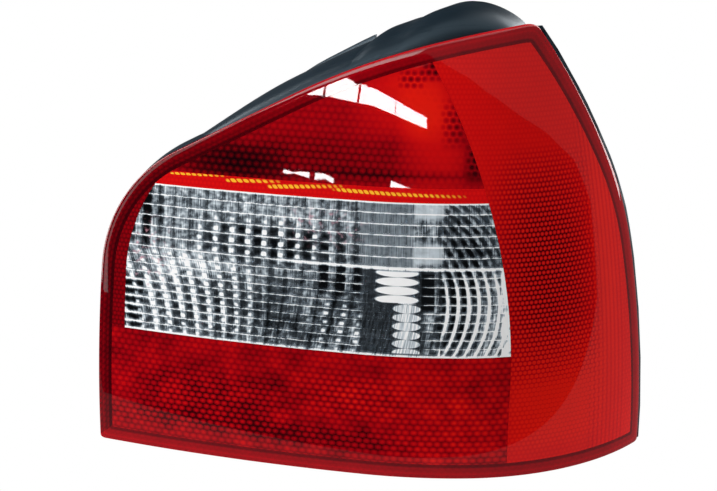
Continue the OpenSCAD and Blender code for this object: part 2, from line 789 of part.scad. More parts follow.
// The earth strip runs up the outer side, along the top and down the inner side, and bridges over the brake feed
earth_right = carrier_right - 4;
earth_top = carrier_top - 4;
earth_left = carrier_left + 6;
earth_middle = TAIL[0] - 28;
bridge_low = BRAKE[1] - 22;
bridge_high = BRAKE[1] - 12;
bridge_lift = 1.8;

module strip_branch(path) difference() {
    track(path);
    for (p = HOLDERS) bar_y(p, holder_radius + 0.1, carrier_back - over, carrier_back + 2);
}

module strip_bridge(x, low, high) {
    half = strip_width / 2;
    bottom = carrier_back + bridge_lift;
    for (z = [low, high]) block([x - half, carrier_back, z - half], [x + half, bottom + strip_wall, z + half]);
    block([x - half, bottom, low - half], [x + half, bottom + strip_wall, high + half]);
}

module earth_strip() {
    strip(5, [[blade_place(5), strip_exit], [earth_right, strip_exit], [earth_right, earth_top]]);
    color("#c9a24a") placed() {
        strip_branch([[earth_right, REVERSE[1]], [REVERSE[0] + 8, REVERSE[1]]]);
        strip_branch([[earth_right, earth_top], [earth_middle, earth_top], [earth_middle, bridge_high]]);
        strip_branch([[earth_middle, BRAKE[1]], [BRAKE[0] + 8, BRAKE[1]]]);
        strip_bridge(earth_middle, bridge_low, bridge_high);
        strip_branch([[earth_middle, bridge_low], [earth_left, bridge_low], [earth_left, FOG[1]], [FOG[0] - 8, FOG[1]]]);
        strip_branch([[earth_left, TURN[1]], [TURN[0] - 8, TURN[1]]]);
    }
}

// Foam gasket between the housing and the car, its upper outer corner drawn in clear of the sealing channel
gasket_inset = tub_inset + 1.5;
gasket_right = seat_width - 2;
gasket_bend = 160;
gasket_lean = 19;
module gasket_outline(step) intersection() {
    polygon(front_outline(gasket_inset + step));
    polygon([
        [0, 0], [gasket_right - step, 0], [gasket_right - step, gasket_bend],
        [gasket_right - step - gasket_lean, z_high], [0, z_high]
    ]);
}
module body_gasket() color("#26282a") placed() along_y(seat_depth, seat_depth + gasket_thickness) difference() {
    gasket_outline(0);
    gasket_outline(gasket_width);
}

// Rubber cap over the breather
module vent_cap() color("#1b1c1d") placed() difference() {
    bar_y(VENT, 5.5, seat_depth, seat_depth + 9);
    bar_y(VENT, 3.5 + bead_gap, seat_depth - over, seat_depth + 7.2);
}

red_lens();
clear_lens();
lens_seal();
housing();
reflector();
brake_bulb_glass();
brake_bulb_cap();
tail_bulb_glass();
tail_bulb_cap();
turn_bulb_glass();
turn_bulb_cap();
reverse_bulb_glass();
reverse_bulb_cap();
fog_bulb_glass();
fog_bulb_cap();
bulb_carrier();
carrier_seal();
earth_strip();
brake_strip();
tail_strip();
turn_strip();
reverse_strip();
fog_strip();
mounting_studs();
body_gasket();
vent_cap();
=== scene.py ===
"""Rear lamp cluster for the right-hand corner of a hatchback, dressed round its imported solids.

Lengths are millimetres from the lens's bottom inner corner, with x outboard, y forwards into the car
and z up. A place on the lens face is given by its length along the plan and its height.
"""

import json
import logging
import math
from dataclasses import dataclass, field
from enum import Enum
from typing import Callable

import bmesh
import bpy
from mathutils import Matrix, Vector

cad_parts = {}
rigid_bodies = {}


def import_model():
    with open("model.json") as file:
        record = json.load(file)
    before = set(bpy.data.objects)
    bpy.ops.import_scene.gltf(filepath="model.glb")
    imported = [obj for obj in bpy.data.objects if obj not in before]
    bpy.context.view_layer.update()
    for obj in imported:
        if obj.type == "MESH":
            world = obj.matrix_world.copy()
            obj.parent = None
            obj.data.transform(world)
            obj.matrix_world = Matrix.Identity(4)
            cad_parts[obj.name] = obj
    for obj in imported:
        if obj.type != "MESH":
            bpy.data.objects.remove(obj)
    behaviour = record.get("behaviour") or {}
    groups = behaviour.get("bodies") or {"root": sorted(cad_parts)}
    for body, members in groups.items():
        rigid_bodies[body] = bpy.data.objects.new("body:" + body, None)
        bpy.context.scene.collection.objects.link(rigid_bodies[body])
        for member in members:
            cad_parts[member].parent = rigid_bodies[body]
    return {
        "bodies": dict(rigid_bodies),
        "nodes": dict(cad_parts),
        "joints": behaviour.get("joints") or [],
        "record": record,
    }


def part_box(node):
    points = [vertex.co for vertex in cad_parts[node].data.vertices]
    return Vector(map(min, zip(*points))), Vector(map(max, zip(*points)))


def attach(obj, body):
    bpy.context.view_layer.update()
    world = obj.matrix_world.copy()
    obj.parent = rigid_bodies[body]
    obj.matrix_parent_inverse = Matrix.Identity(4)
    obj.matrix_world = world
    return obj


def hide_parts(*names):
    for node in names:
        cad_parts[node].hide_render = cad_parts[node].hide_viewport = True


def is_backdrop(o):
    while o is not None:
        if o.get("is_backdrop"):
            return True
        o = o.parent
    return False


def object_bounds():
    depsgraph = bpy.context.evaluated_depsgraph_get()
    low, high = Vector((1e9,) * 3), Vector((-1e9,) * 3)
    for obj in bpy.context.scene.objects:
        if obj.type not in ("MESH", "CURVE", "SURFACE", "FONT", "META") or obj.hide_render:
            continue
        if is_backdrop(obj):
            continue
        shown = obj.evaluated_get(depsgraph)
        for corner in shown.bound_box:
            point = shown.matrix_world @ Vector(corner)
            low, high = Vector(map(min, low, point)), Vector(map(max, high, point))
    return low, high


LOG = logging.getLogger("rear_lamp")
MM = 0.001
BODY = "root"
BISECTIONS = 40
Place = tuple[float, float]
Colour = tuple[float, float, float]
Line = Callable[[float], float]
Relief = Callable[[float, float, float, float], float]
Mesh = bmesh.types.BMesh
Tree = bpy.types.NodeTree
Socket = bpy.types.NodeSocket


class Slot(Enum):
    """Material slots of the record."""

    RED = "red_acrylic"
    CLEAR = "clear_acrylic"
    SEALANT = "sealant"
    HOUSING = "housing_plastic"
    MIRROR = "metallised_plastic"
    GLASS = "bulb_glass"
    AMBER = "amber_glass"
    CAP = "bulb_metal"
    CARRIER = "carrier_plastic"
    FOAM = "foam"
    BRASS = "contact_brass"
    ZINC = "zinc_steel"
    VENT = "vent_rubber"


class Part(Enum):
    """Parts of a cell in the window's painted reflection: the whole cell, its painted glint, its painted
    highlight and its painted shade.
    """

    WHOLE = "whole"
    PAINTED_GLINT = "painted_glint"
    PAINTED_HIGHLIGHT = "painted_highlight"
    # the dark part of a cell: painted shade
    PAINTED_SHADE = "hole"


def ease(u: float) -> float:
    """Returns a smooth step from 0 to 1 as u goes from 0 to 1."""
    v = min(1.0, max(0.0, u))
    return v * v * (3 - 2 * v)


def lerp(a: float, b: float, u: float) -> float:
    """Returns the value a share u of the way from a to b."""
    return a + (b - a) * u


def curve(a: Place, b: Place, c: Place, u: float) -> Place:
    """Returns the place at a share u along the parabola from a to c that leans on b."""
    return tuple((1 - u) ** 2 * a[n] + 2 * u * (1 - u) * b[n] + u * u * c[n] for n in (0, 1))


def crossing(low: float, high: float, before: Callable[[float], bool]) -> float:
    """Finds by halving where a test stops holding.

    Args:
        low: A value for which it holds.
        high: A value for which it doesn't.
        before: The test.

    Returns:
        The last value for which it holds.
    """
    for _ in range(BISECTIONS):
        middle = (low + high) / 2
        if before(middle):
            low = middle
        else:
            high = middle
    return low


@dataclass(frozen=True)
class Arc:
    """One arc of the lens face in plan, in millimetres and radians."""

    centre: Place
    radius: float
    start: float
    length: float
    first: float


@dataclass
class LensForm:
    """Shape of the lens face and of its outline, in millimetres from the lens's bottom inner corner."""

    rear_length: float = 155.0
    rear_radius: float = 910.0
    rear_angle: float = 5.4
    blend_length: float = 56.0
    blend_radius: float = 226.0
    corner_radius: float = 132.0
    crown_radius: float = 620.0
    crown_height: float = 15.0
    height: float = 239.0
    edge_lean: float = 1.35
    shoulder_height: float = 100.0
    shoulder_radius: float = 75.0
    top_slope: float = 28.6
    crest_radius: float = 330.0
    side_depth: float = 138.5
    side_lean: float = 1.5
    side_bend_height: float = 115.0
    side_bend_radius: float = 200.0
    side_rake: float = 15.5
    window_bottom: float = 68.3
    window_top: float = 148.5
    window_split: float = 115.0
    window_start: float = 17.8
    window_end_radius: float = 89.0
    band_foot: float = 222.0
    band_bend_height: float = 50.0
    band_radius: float = 300.0
    wall: float = 3.0
    tip_range: Place = (120.0, 262.0)
    corner: Vector = field(default_factory=Vector)
    arcs: list[Arc] = field(default_factory=list)

    def __post_init__(self) -> None:
        """Works out the arcs of the plan and the tangent pieces of the outline."""
        start = math.radians(self.rear_angle)
        centre = (-self.rear_radius * math.sin(start), self.rear_radius * math.cos(start))
        radius, first = self.rear_radius, 0.0
        for next_radius, length in (
            (self.blend_radius, self.rear_length),
            (self.corner_radius, self.blend_length),
            (self.corner_radius, self.corner_radius * math.pi),
        ):
            self.arcs.append(Arc(centre, radius, start, length, first))
            start += length / radius
            step = radius - next_radius
            centre = (centre[0] + step * math.sin(start), centre[1] - step * math.cos(start))
            radius, first = next_radius, first + length
        lean, slope = math.radians(self.edge_lean), math.radians(self.top_slope)
        self.shoulder = (
            (self.shoulder_radius + self.shoulder_height * math.sin(lean)) / math.cos(lean),
            self.shoulder_height,
        )
        self.slope_start = (
            self.shoulder[0] - self.shoulder_radius * math.sin(slope),
            self.shoulder[1] + self.shoulder_radius * math.cos(slope),
        )
        crest_z = self.height - self.crest_radius
        run = (crest_z + self.crest_radius * math.cos(slope) - self.slope_start[1]) / math.sin(slope)
        self.crest = (
            self.slope_start[0] + run * math.cos(slope) + self.crest_radius * math.sin(slope),
            crest_z,
        )
        side = math.radians(self.side_lean)
        self.side_bend = (
            self.side_depth - self.side_bend_height * math.tan(side) - self.side_bend_radius * math.cos(side),
            self.side_bend_height - self.side_bend_radius * math.sin(side),
        )

    def to_row(self, x: float, y: float, z: float) -> Vector:
        """Turns a place in the lens's own millimetres into metres in the row's frame."""
        return self.corner + Vector((x, y, z)) * MM

    def lean(self, z: float) -> float:
        """Returns how far the face has leaned back at a height."""
        return self.crown_radius - math.sqrt(self.crown_radius**2 - (z - self.crown_height) ** 2)

    def plane(self, s: float, z: float, depth: float = 0.0) -> tuple[float, float, float]:
        """Returns the place at a length along the plan, a height and a depth behind the face."""
        arc = self.arcs[0]
        for candidate in self.arcs[1:]:
            if s > candidate.first:
                arc = candidate
        angle = arc.start + (s - arc.first) / arc.radius
        reach = arc.radius - self.lean(z) - depth
        return arc.centre[0] + reach * math.sin(angle), arc.centre[1] - reach * math.cos(angle), z

    def point(self, s: float, z: float, depth: float = 0.0) -> Vector:
        """Returns the same place as plane does, in the row's frame."""
        return self.to_row(*self.plane(s, z, depth))

    def length_at_x(self, x: float, z: float, depth: float = 0.0) -> float:
        """Returns the length along the plan at which the face stands at x."""
        for arc in self.arcs:
            angle = math.asin(max(-1.0, min(1.0, (x - arc.centre[0]) / (arc.radius - self.lean(z) - depth))))
            s = arc.first + (angle - arc.start) * arc.radius
            if s <= arc.first + arc.length:
                return s
        return s

    def length_at_y(self, y: float, z: float) -> float:
        """Returns the length along the corner arc at which the face stands at depth y."""
        arc = self.arcs[2]
        angle = math.acos(max(-1.0, min(1.0, (arc.centre[1] - y) / (arc.radius - self.lean(z)))))
        return arc.first + (angle - arc.start) * arc.radius

    def face_y(self, x: float, z: float, depth: float = 0.0) -> float:
        """Returns the face's depth at a place in the front view."""
        return self.plane(self.length_at_x(x, z, depth), z, depth)[1]

    def left_x(self, z: float, inset: float = 0.0) -> float:
        """Returns the outline's inner and upper edge as an x for a height."""
        lean, slope = math.radians(self.edge_lean), math.radians(self.top_slope)
        radius = self.shoulder_radius - inset
        if z < self.shoulder[1] + radius * math.sin(lean):
            return (inset + z * math.sin(lean)) / math.cos(lean)
        if z < self.shoulder[1] + radius * math.cos(slope):
            return self.shoulder[0] - math.sqrt(radius**2 - (z - self.shoulder[1]) ** 2)
        crest = self.crest_radius - inset
        if z < self.crest[1] + crest * math.cos(slope):
            return self.shoulder[0] + (math.cos(slope) * (z - self.shoulder[1]) - radius) / math.sin(slope)
        return self.crest[0] - math.sqrt(max(0.0, crest**2 - (z - self.crest[1]) ** 2))

    def top_z(self, x: float, inset: float = 0.0) -> float:
        """Returns the height of the outline's upper edge over an x."""
        slope = math.radians(self.top_slope)
        radius, crest = self.shoulder_radius - inset, self.crest_radius - inset
        if x < self.shoulder[0] - radius * math.sin(slope):
            return self.shoulder[1] + math.sqrt(max(0.0, radius**2 - (x - self.shoulder[0]) ** 2))
        if x < self.crest[0] - crest * math.sin(slope):
            return self.shoulder[1] + (radius + math.sin(slope) * (x - self.shoulder[0])) / math.cos(slope)
        return self.crest[1] + math.sqrt(crest**2 - (x - self.crest[0]) ** 2)

    def side_y(self, z: float, inset: float = 0.0) -> float:
        """Returns the outer edge's depth at a height."""
        lean, rake = math.radians(self.side_lean), math.radians(self.side_rake)
        radius = self.side_bend_radius - inset
        low = (self.side_bend[0] + radius * math.cos(lean), self.side_bend[1] + radius * math.sin(lean))
        high = (self.side_bend[0] + radius * math.cos(rake), self.side_bend[1] + radius * math.sin(rake))
        if z < low[1]:
            return low[0] + (low[1] - z) * math.tan(lean)
        if z < high[1]:
            return self.side_bend[0] + math.sqrt(radius**2 - (z - self.side_bend[1]) ** 2)
        return high[0] - (z - high[1]) * math.tan(rake)

    def band_x(self, z: float, inset: float = 0.0) -> float:
        """Returns the place of the line where the wraparound band starts."""
        if z < self.band_bend_height:
            return self.band_foot - inset
        reach = math.sqrt((self.band_radius - inset) ** 2 - (z - self.band_bend_height) ** 2)
        return self.band_foot - self.band_radius + reach

    def window_x(self, z: float) -> float:
        """Returns the window's curved inner end."""
        if z < self.shoulder_height:
            return self.window_start
        reach = math.sqrt(self.window_end_radius**2 - (z - self.shoulder_height) ** 2)
        return self.window_start + self.window_end_radius - reach

    def tip(self, inset: float) -> float:
        """Returns the x at which the upper edge meets the outer edge."""

        def inside(x: float) -> bool:
            """Returns whether the upper edge still runs inside the outer one."""
            z = self.top_z(x, inset)
            return self.face_y(x, z) < self.side_y(z, inset)

        return crossing(*self.tip_range, inside)

    def side_length(self, z: float, inset: float) -> float:
        """Returns the length along the plan of the outer edge, drawn in by an inset."""
        return self.length_at_y(self.side_y(z, inset), z)


def track(*points: Place) -> Line:
    """Returns a line through points as a function of their first number."""

    def height(a: float) -> float:
        """Returns the line's second number at its first."""
        for (a0, h0), (a1, h1) in zip(points, points[1:]):
            if a <= a1:
                return lerp(h0, h1, (a - a0) / (a1 - a0))
        return points[-1][1]

    return height


def resample(points: list[Place], count: int) -> list[Place]:
    """Spreads places evenly along a line.

    Args:
        points: The line's own points.
        count: How many places to return, both ends among them.

    Returns:
        The places, evenly spaced.
    """
    reach = [0.0]
    for a, b in zip(points, points[1:]):
        reach.append(reach[-1] + math.dist(a, b))
    result, k = [], 0
    for i in range(count):
        target = reach[-1] * i / (count - 1)
        while k < len(reach) - 2 and reach[k + 1] < target:
            k += 1
        span = reach[k + 1] - reach[k] or 1.0
        u = (target - reach[k]) / span
        result.append((lerp(points[k][0], points[k + 1][0], u), lerp(points[k][1], points[k + 1][1], u)))
    return result


@dataclass
class Outline:
    """The lens's outline as closed loops of (length, height) places at any inset."""

    form: LensForm
    corner_radius: float = 2.2
    least_radius: float = 0.6
    radius_loss: float = 0.2
    counts: tuple[int, int, int] = (150, 110, 110)
    steps: tuple[int, int, int] = (400, 300, 200)
    corner_points: int = 4

    @property
    def size(self) -> int:
        """Returns how many places a loop has."""
        return sum(self.counts) + len(self.counts) * self.corner_points

    def edges(self, inset: float) -> list[list[Place]]:
        """Returns the upper, outer and bottom edges as dense lines."""
        form = self.form
        rise, fall, run = self.steps
        tip_x = form.tip(inset)
        tip_z = form.top_z(tip_x, inset)
        heights = [lerp(inset, tip_z, k / rise) for k in range(rise)]
        upper = [(form.length_at_x(form.left_x(z, inset), z), z) for z in heights]
        upper.append((form.length_at_x(tip_x, tip_z), tip_z))
        outer = [(form.side_length(z, inset), z) for z in (lerp(tip_z, inset, k / fall) for k in range(fall + 1))]
        bottom = [(lerp(outer[-1][0], upper[0][0], k / run), inset) for k in range(run + 1)]
        return [upper, outer, bottom]

    def loop(self, inset: float) -> list[Place]:
        """Returns the whole outline with its corners rounded, always with as many places."""
        edges = self.edges(inset)
        radius = max(self.least_radius, self.corner_radius - inset * self.radius_loss)
        trimmed = [[p for p in e if min(math.dist(p, e[0]), math.dist(p, e[-1])) > radius] for e in edges]
        result: list[Place] = []
        for k, (edge, count) in enumerate(zip(trimmed, self.counts)):
            after = trimmed[(k + 1) % len(trimmed)][0]
            shares = [i / (self.corner_points + 1) for i in range(1, self.corner_points + 1)]
            result += resample(edge, count) + [curve(edge[-1], edges[k][-1], after, u) for u in shares]
        return result


def dressed(name: str, fill: Callable[[Tree, bpy.types.Node], None]) -> bpy.types.Material:
    """Returns the material of a name, which is built on its first use.

    Args:
        name: The material's name.
        fill: Sets up its node tree and shader.

    Returns:
        The material.
    """
    material = bpy.data.materials.get(name)
    if not material:
        material = bpy.data.materials.new(name)
        material.use_nodes = True
        fill(material.node_tree, material.node_tree.nodes["Principled BSDF"])
    return material


def object_place(tree: Tree) -> Socket:
    """Returns a tree's object coordinates."""
    coords = tree.nodes.get("Texture Coordinate") or tree.nodes.new("ShaderNodeTexCoord")
    return coords.outputs["Object"]


def noise(tree: Tree, place: Socket, scale: float, detail: float) -> Socket:
    """Adds noise over a place to a tree and returns its value."""
    node = tree.nodes.new("ShaderNodeTexNoise")
    node.inputs["Scale"].default_value = scale
    node.inputs["Detail"].default_value = detail
    tree.links.new(place, node.inputs["Vector"])
    return node.outputs["Fac"]


@dataclass(frozen=True)
class Finish:
    """A plain finish with mottled colour, uneven gloss, grain and waviness where it has them."""

    name: str
    colour: Colour
    roughness: float
    metallic: float = 0.0
    transmission: float = 0.0
    ior: float = 1.49
    specular: float = 0.5
    tint: Colour = (1.0, 1.0, 1.0)
    grain_scale: float = 900.0
    grain: float = 0.0
    grain_depth: float = 0.0001
    wave_scale: float = 40.0
    wave: float = 0.0
    wave_depth: float = 0.0006
    mottle: float = 0.0
    mottle_scale: float = 60.0
    rough_spread: float = 0.0
    rough_share: float = 2.5

    def make(self) -> bpy.types.Material:
        """Returns the finish's material."""
        return dressed(self.name, self.fill)

    def fill(self, tree: Tree, shader: bpy.types.Node) -> None:
        """Sets the shader's values and adds the texture to them."""
        for socket, value in (
            ("Base Color", (*self.colour, 1.0)),
            ("Roughness", self.roughness),
            ("Metallic", self.metallic),
            ("Transmission Weight", self.transmission),
            ("IOR", self.ior),
            ("Specular IOR Level", self.specular),
            ("Specular Tint", (*self.tint, 1.0)),
        ):
            shader.inputs[socket].default_value = value
        if self.mottle:
            mix = tree.nodes.new("ShaderNodeVectorMath")
            mix.operation = "SCALE"
            mix.inputs[0].default_value = self.colour
            tree.links.new(self.spread(tree, self.mottle_scale, 4, 1.0, self.mottle), mix.inputs["Scale"])
            tree.links.new(mix.outputs["Vector"], shader.inputs["Base Color"])
        if self.rough_spread:
            scale = self.mottle_scale * self.rough_share
            gloss = self.spread(tree, scale, 3, self.roughness, self.rough_spread)
            tree.links.new(gloss, shader.inputs["Roughness"])
        self.add_relief(tree, shader)

    def spread(self, tree: Tree, scale: float, detail: float, middle: float, reach: float) -> Socket:
        """Returns noise spread by a reach to both sides of a middle."""
        ramp = tree.nodes.new("ShaderNodeMapRange")
        ramp.inputs["To Min"].default_value = middle - reach
        ramp.inputs["To Max"].default_value = middle + reach
        tree.links.new(noise(tree, object_place(tree), scale, detail), ramp.inputs["Value"])
        return ramp.outputs["Result"]

    def add_relief(self, tree: Tree, shader: bpy.types.Node) -> None:
        """Adds the finish's waviness and, over it, its grain."""
        last = None
        for scale, strength, depth in (
            (self.wave_scale, self.wave, self.wave_depth),
            (self.grain_scale, self.grain, self.grain_depth),
        ):
            if not strength:
                continue
            bump = tree.nodes.new("ShaderNodeBump")
            bump.inputs["Strength"].default_value = strength
            bump.inputs["Distance"].default_value = depth
            tree.links.new(noise(tree, object_place(tree), scale, 2), bump.inputs["Height"])
            if last:
                tree.links.new(last, bump.inputs["Normal"])
            last = bump.outputs["Normal"]
            tree.links.new(last, shader.inputs["Normal"])


MIRROR = Finish("metallised skin", (0.88, 0.89, 0.91), 0.07, metallic=1.0, wave=0.05, wave_scale=120)
HOUSING = Finish(
    "housing plastic", (0.005, 0.0105, 0.016), 0.36, specular=0.36, tint=(0.62, 0.84, 1.0),
    grain=0.25, grain_scale=2600, mottle=0.12, rough_spread=0.05,
)
SEALANT = Finish("sealing compound", (0.012, 0.012, 0.014), 0.5, mottle=0.3)
GLASS = Finish(
    "bulb glass", (0.97, 0.98, 0.98), 0.02, transmission=1.0, ior=1.5, mottle=0.02, wave=0.15, rough_spread=0.015
)
AMBER = Finish(
    "amber glass", (0.98, 0.8, 0.56), 0.03, transmission=1.0, ior=1.5, mottle=0.04, wave=0.15, rough_spread=0.02
)
CAP = Finish("nickel cap", (0.62, 0.6, 0.54), 0.25, metallic=1.0, mottle=0.15, rough_spread=0.08)
CARRIER = Finish("carrier plastic", (0.26, 0.25, 0.225), 0.45, grain=0.2, grain_scale=1800, mottle=0.06)
FOAM = Finish(
    "closed-cell foam", (0.025, 0.026, 0.028), 0.9, grain=0.9, grain_scale=1400, mottle=0.35, mottle_scale=900
)
BRASS = Finish("contact brass", (0.78, 0.55, 0.22), 0.28, metallic=1.0, mottle=0.12, rough_spread=0.1)
ZINC = Finish("zinc plating", (0.66, 0.65, 0.58), 0.32, metallic=1.0, mottle=0.18, rough_spread=0.1)
VENT = Finish("vent rubber", (0.02, 0.02, 0.02), 0.6, grain=0.4, grain_scale=1500, mottle=0.2)


class Term:
    """A number that a shader's node tree works out."""

    def __init__(self, tree: bpy.types.NodeTree, socket: bpy.types.NodeSocket) -> None:
        """Wraps a socket of a node tree."""
        self.tree, self.socket = tree, socket

    def apply(self, operation: str, other: "Term | float | None" = None, clamp: bool = False) -> "Term":
        """Returns the result of a math node on this term and another.

        Args:
            operation: The node's operation.
            other: The second operand, where there is one.
            clamp: Whether the result is held between 0 and 1.

        Returns:
            The result.
        """
        node = self.tree.nodes.new("ShaderNodeMath")
        node.operation = operation
        node.use_clamp = clamp
        self.tree.links.new(self.socket, node.inputs[0])
        if isinstance(other, Term):
            self.tree.links.new(other.socket, node.inputs[1])
        elif other is not None:
            node.inputs[1].default_value = other
        return Term(self.tree, node.outputs[0])

    def __add__(self, other: "Term | float") -> "Term":
        """Returns the sum."""
        return self.apply("ADD", other)

    def __sub__(self, other: "Term | float") -> "Term":
        """Returns the difference."""
        return self.apply("SUBTRACT", other)

    def __mul__(self, other: "Term | float") -> "Term":
        """Returns the product."""
        return self.apply("MULTIPLY", other)

    def __truediv__(self, other: "Term | float") -> "Term":
        """Returns the quotient."""
        return self.apply("DIVIDE", other)

    def saw(self) -> "Term":
        """Returns a saw from -1 to 1 over each whole number."""
        return self.apply("FRACT") * 2 - 1

    def square(self) -> "Term":
        """Returns the square."""
        return self * self

    def hill(self, centre: float, reach: float) -> "Term":
        """Returns 1 at a centre, falling to 0 at a reach from it."""
        return ((self - centre) / reach).square().apply("MULTIPLY", -1.0).__add__(1.0).apply("MAXIMUM", 0.0)

    def towards(self, goal: "Term | float", share: "Term | float") -> "Term":
        """Returns the term moved a share of the way to a goal."""
        return self + (self * -1.0 + goal) * share

    def within(self, low: float, high: float, soft: float) -> "Term":
        """Returns 1 between two limits, with soft ends."""
        rise = ((self - low) / soft).apply("ADD", 0.5, True)
        return rise * ((self - high) / -soft).apply("ADD", 0.5, True)


def pattern(across: Term, up: Term, pitch: Place) -> Term:
    """Returns staggered soft dots, 1 in a dot's middle and 0 at its corners."""
    row = (up / pitch[1]).apply("FLOOR")
    shift = row.apply("FLOORED_MODULO", 2.0) * 0.5
    a = (across / pitch[0] + shift).saw().square()
    b = (up / pitch[1]).saw().square()
    return (a + b) * -0.5 + 1.0


def near(across: Term, up: Term, centre: Place, reach: Place) -> Term:
    """Returns 1 at a place of the lens, falling to 0 at a reach from it each way."""
    return across.hill(centre[0], reach[0]) * up.hill(centre[1], reach[1])


@dataclass(frozen=True)
class Spot:
    """A soft patch of painted light or shade on the lens: lighter or darker, or with its optics' painted light
    and shade stronger.
    """

    centre: Place
    reach: Place
    tone: float = 0.0
    contrast: float = 0.0


@dataclass(frozen=True)
class PaintedGlintStreak:
    """A row of small painted orange glints along a line of the lens, standing in for light from the amber bulb.
    """

    start: Place
    end: Place
    width: float
    pitch: float
    slant: float = 0.25
    gain: float = 2.4

    def mask(self, across: Term, up: Term) -> Term:
        """Returns where the painted glints lie."""
        (x0, z0), (x1, z1) = self.start, self.end
        line = (across - x0) * ((z1 - z0) / (x1 - x0)) + z0
        off = ((up - line) / self.width).square() * -1.0 + 1.0
        dash = (across / self.pitch + up * self.slant).saw().square() * -1.6 + 1.3
        along = (across - x0) / (x1 - x0)
        fade = along.within(0.0, 1.0, 0.14) * (along * -0.95 + 1.15)
        return (off.apply("MAXIMUM", 0.0) * fade * dash - 0.12).apply("MULTIPLY", self.gain, True)


@dataclass(frozen=True)
class Optic:
    """An acrylic with painted light and shade on its moulded optics, which its "optics" map places in
    millimetres.

    The tone paints each optic's light and shade as staggered dots, and its spots paint lighter and darker
    patches; lines and ribs make bands lighter or darker. The tone runs through the stops' colours. Painted glints
    take the glint colour and lose the clarity. Above the milky tone the acrylic loses its clarity.
    """

    name: str
    tone: float = 0.6
    contrast: float = 0.3
    pitch: Place = (4.2, 3.3)
    # patches of painted light or shade
    spots: tuple[Spot, ...] = ()
    # rows of painted glints
    painted_streaks: tuple[PaintedGlintStreak, ...] = ()
    lines: tuple[tuple[float, float, float], ...] = ()
    ribs: tuple[float, float, float] | None = None
    rib_pitch: float = 3.1
    mottle: float = 0.06
    mottle_scale: float = 90.0
    clarity: float = 0.3
    milky: float = 0.6
    milk: float = 0.0
    # colour of the painted glints
    painted_glint: Colour = (1.0, 0.5, 0.03)
    roughness: float = 0.015
    ior: float = 1.49
    stops: tuple[tuple[float, Colour], ...] = (
        (0.0, (0.012, 0.0, 0.002)),
        (0.3, (0.12, 0.0, 0.003)),
        (0.6, (0.45, 0.001, 0.006)),
        (0.85, (0.8, 0.005, 0.006)),
        (1.0, (1.0, 0.014, 0.006)),
    )

    def make(self) -> bpy.types.Material:
        """Returns the optic's material."""
        return dressed(self.name, self.fill)

    def fill(self, tree: Tree, shader: bpy.types.Node) -> None:
        """Sets up the shader's gloss, colour and clarity."""
        shader.inputs["Roughness"].default_value = self.roughness
        shader.inputs["IOR"].default_value = self.ior
        layout = tree.nodes.new("ShaderNodeUVMap")
        layout.uv_map = "optics"
        split = tree.nodes.new("ShaderNodeSeparateXYZ")
        tree.links.new(layout.outputs["UV"], split.inputs[0])
        across, up = Term(tree, split.outputs["X"]), Term(tree, split.outputs["Y"])
        tone = self.shade(tree, across, up)
        ramp = tree.nodes.new("ShaderNodeValToRGB")
        tree.links.new(tone.socket, ramp.inputs["Fac"])
        elements = ramp.color_ramp.elements
        for k, (place, colour) in enumerate(self.stops):
            element = elements[k] if k < 2 else elements.new(place)
            element.position = place
            element.color = (*colour, 1.0)
        colour = ramp.outputs["Color"]
        milk = (tone - self.milky) / (self.milky - 1.0) * self.milk + 1.0
        clear = milk.apply("MINIMUM", 1.0) * self.clarity
        # painted glints: the glint colour replaces the tone and the acrylic turns opaque there
        mask = self.painted_glints(across, up)
        if mask:
            mix = tree.nodes.new("ShaderNodeMix")
            mix.data_type = "RGBA"
            tree.links.new(mask.socket, mix.inputs["Factor"])
            tree.links.new(colour, mix.inputs["A"])
            mix.inputs["B"].default_value = (*self.painted_glint, 1.0)
            colour = mix.outputs["Result"]
            clear = (mask * -1.0 + 1.0) * clear
        tree.links.new(colour, shader.inputs["Base Color"])
        tree.links.new(clear.socket, shader.inputs["Transmission Weight"])

    def shade(self, tree: Tree, across: Term, up: Term) -> Term:
        """Returns the painted tone at a place of the lens."""
        cell = pattern(across, up, self.pitch)
        # painted light and shade of each optic: lighter in its middle, darker at its corners
        dots = cell * cell - 0.45
        tone = dots * self.contrast + self.tone
        for spot in self.spots:
            tone = tone + near(across, up, spot.centre, spot.reach) * (dots * spot.contrast + spot.tone)
        for low, high, change in self.lines:
            tone = tone + up.within(low, high, 1.0) * change
        if self.ribs:
            first, last, depth = self.ribs
            tone = tone + (across / self.rib_pitch).saw().square() * across.within(first, last, 4.0) * -depth
        cloud = Term(tree, noise(tree, object_place(tree), self.mottle_scale, 2.0))
        return tone + (cloud - 0.5) * (2 * self.mottle)

    def painted_glints(self, across: Term, up: Term) -> Term | None:
        """Returns where painted glints lie, if there are any."""
        masks = [streak.mask(across, up) for streak in self.painted_streaks]
        for one in masks[1:]:
            masks[0] = masks[0].apply("MAXIMUM", one)
        return masks[0] if masks else None


@dataclass(frozen=True)
class PaintedPatch:
    """A soft patch of painted light or shade on the window that makes one part of its cells lighter or darker."""

    part: Part
    centre: Place
    reach: Place
    change: float


@dataclass(frozen=True)
class Box:
    """A patch with straight sides: a low end, a high end and a softness each way."""

    across: tuple[float, float, float]
    up: tuple[float, float, float]

    def mask(self, across: Term, up: Term) -> Term:
        """Returns 1 inside the box."""
        return across.within(*self.across) * up.within(*self.up)


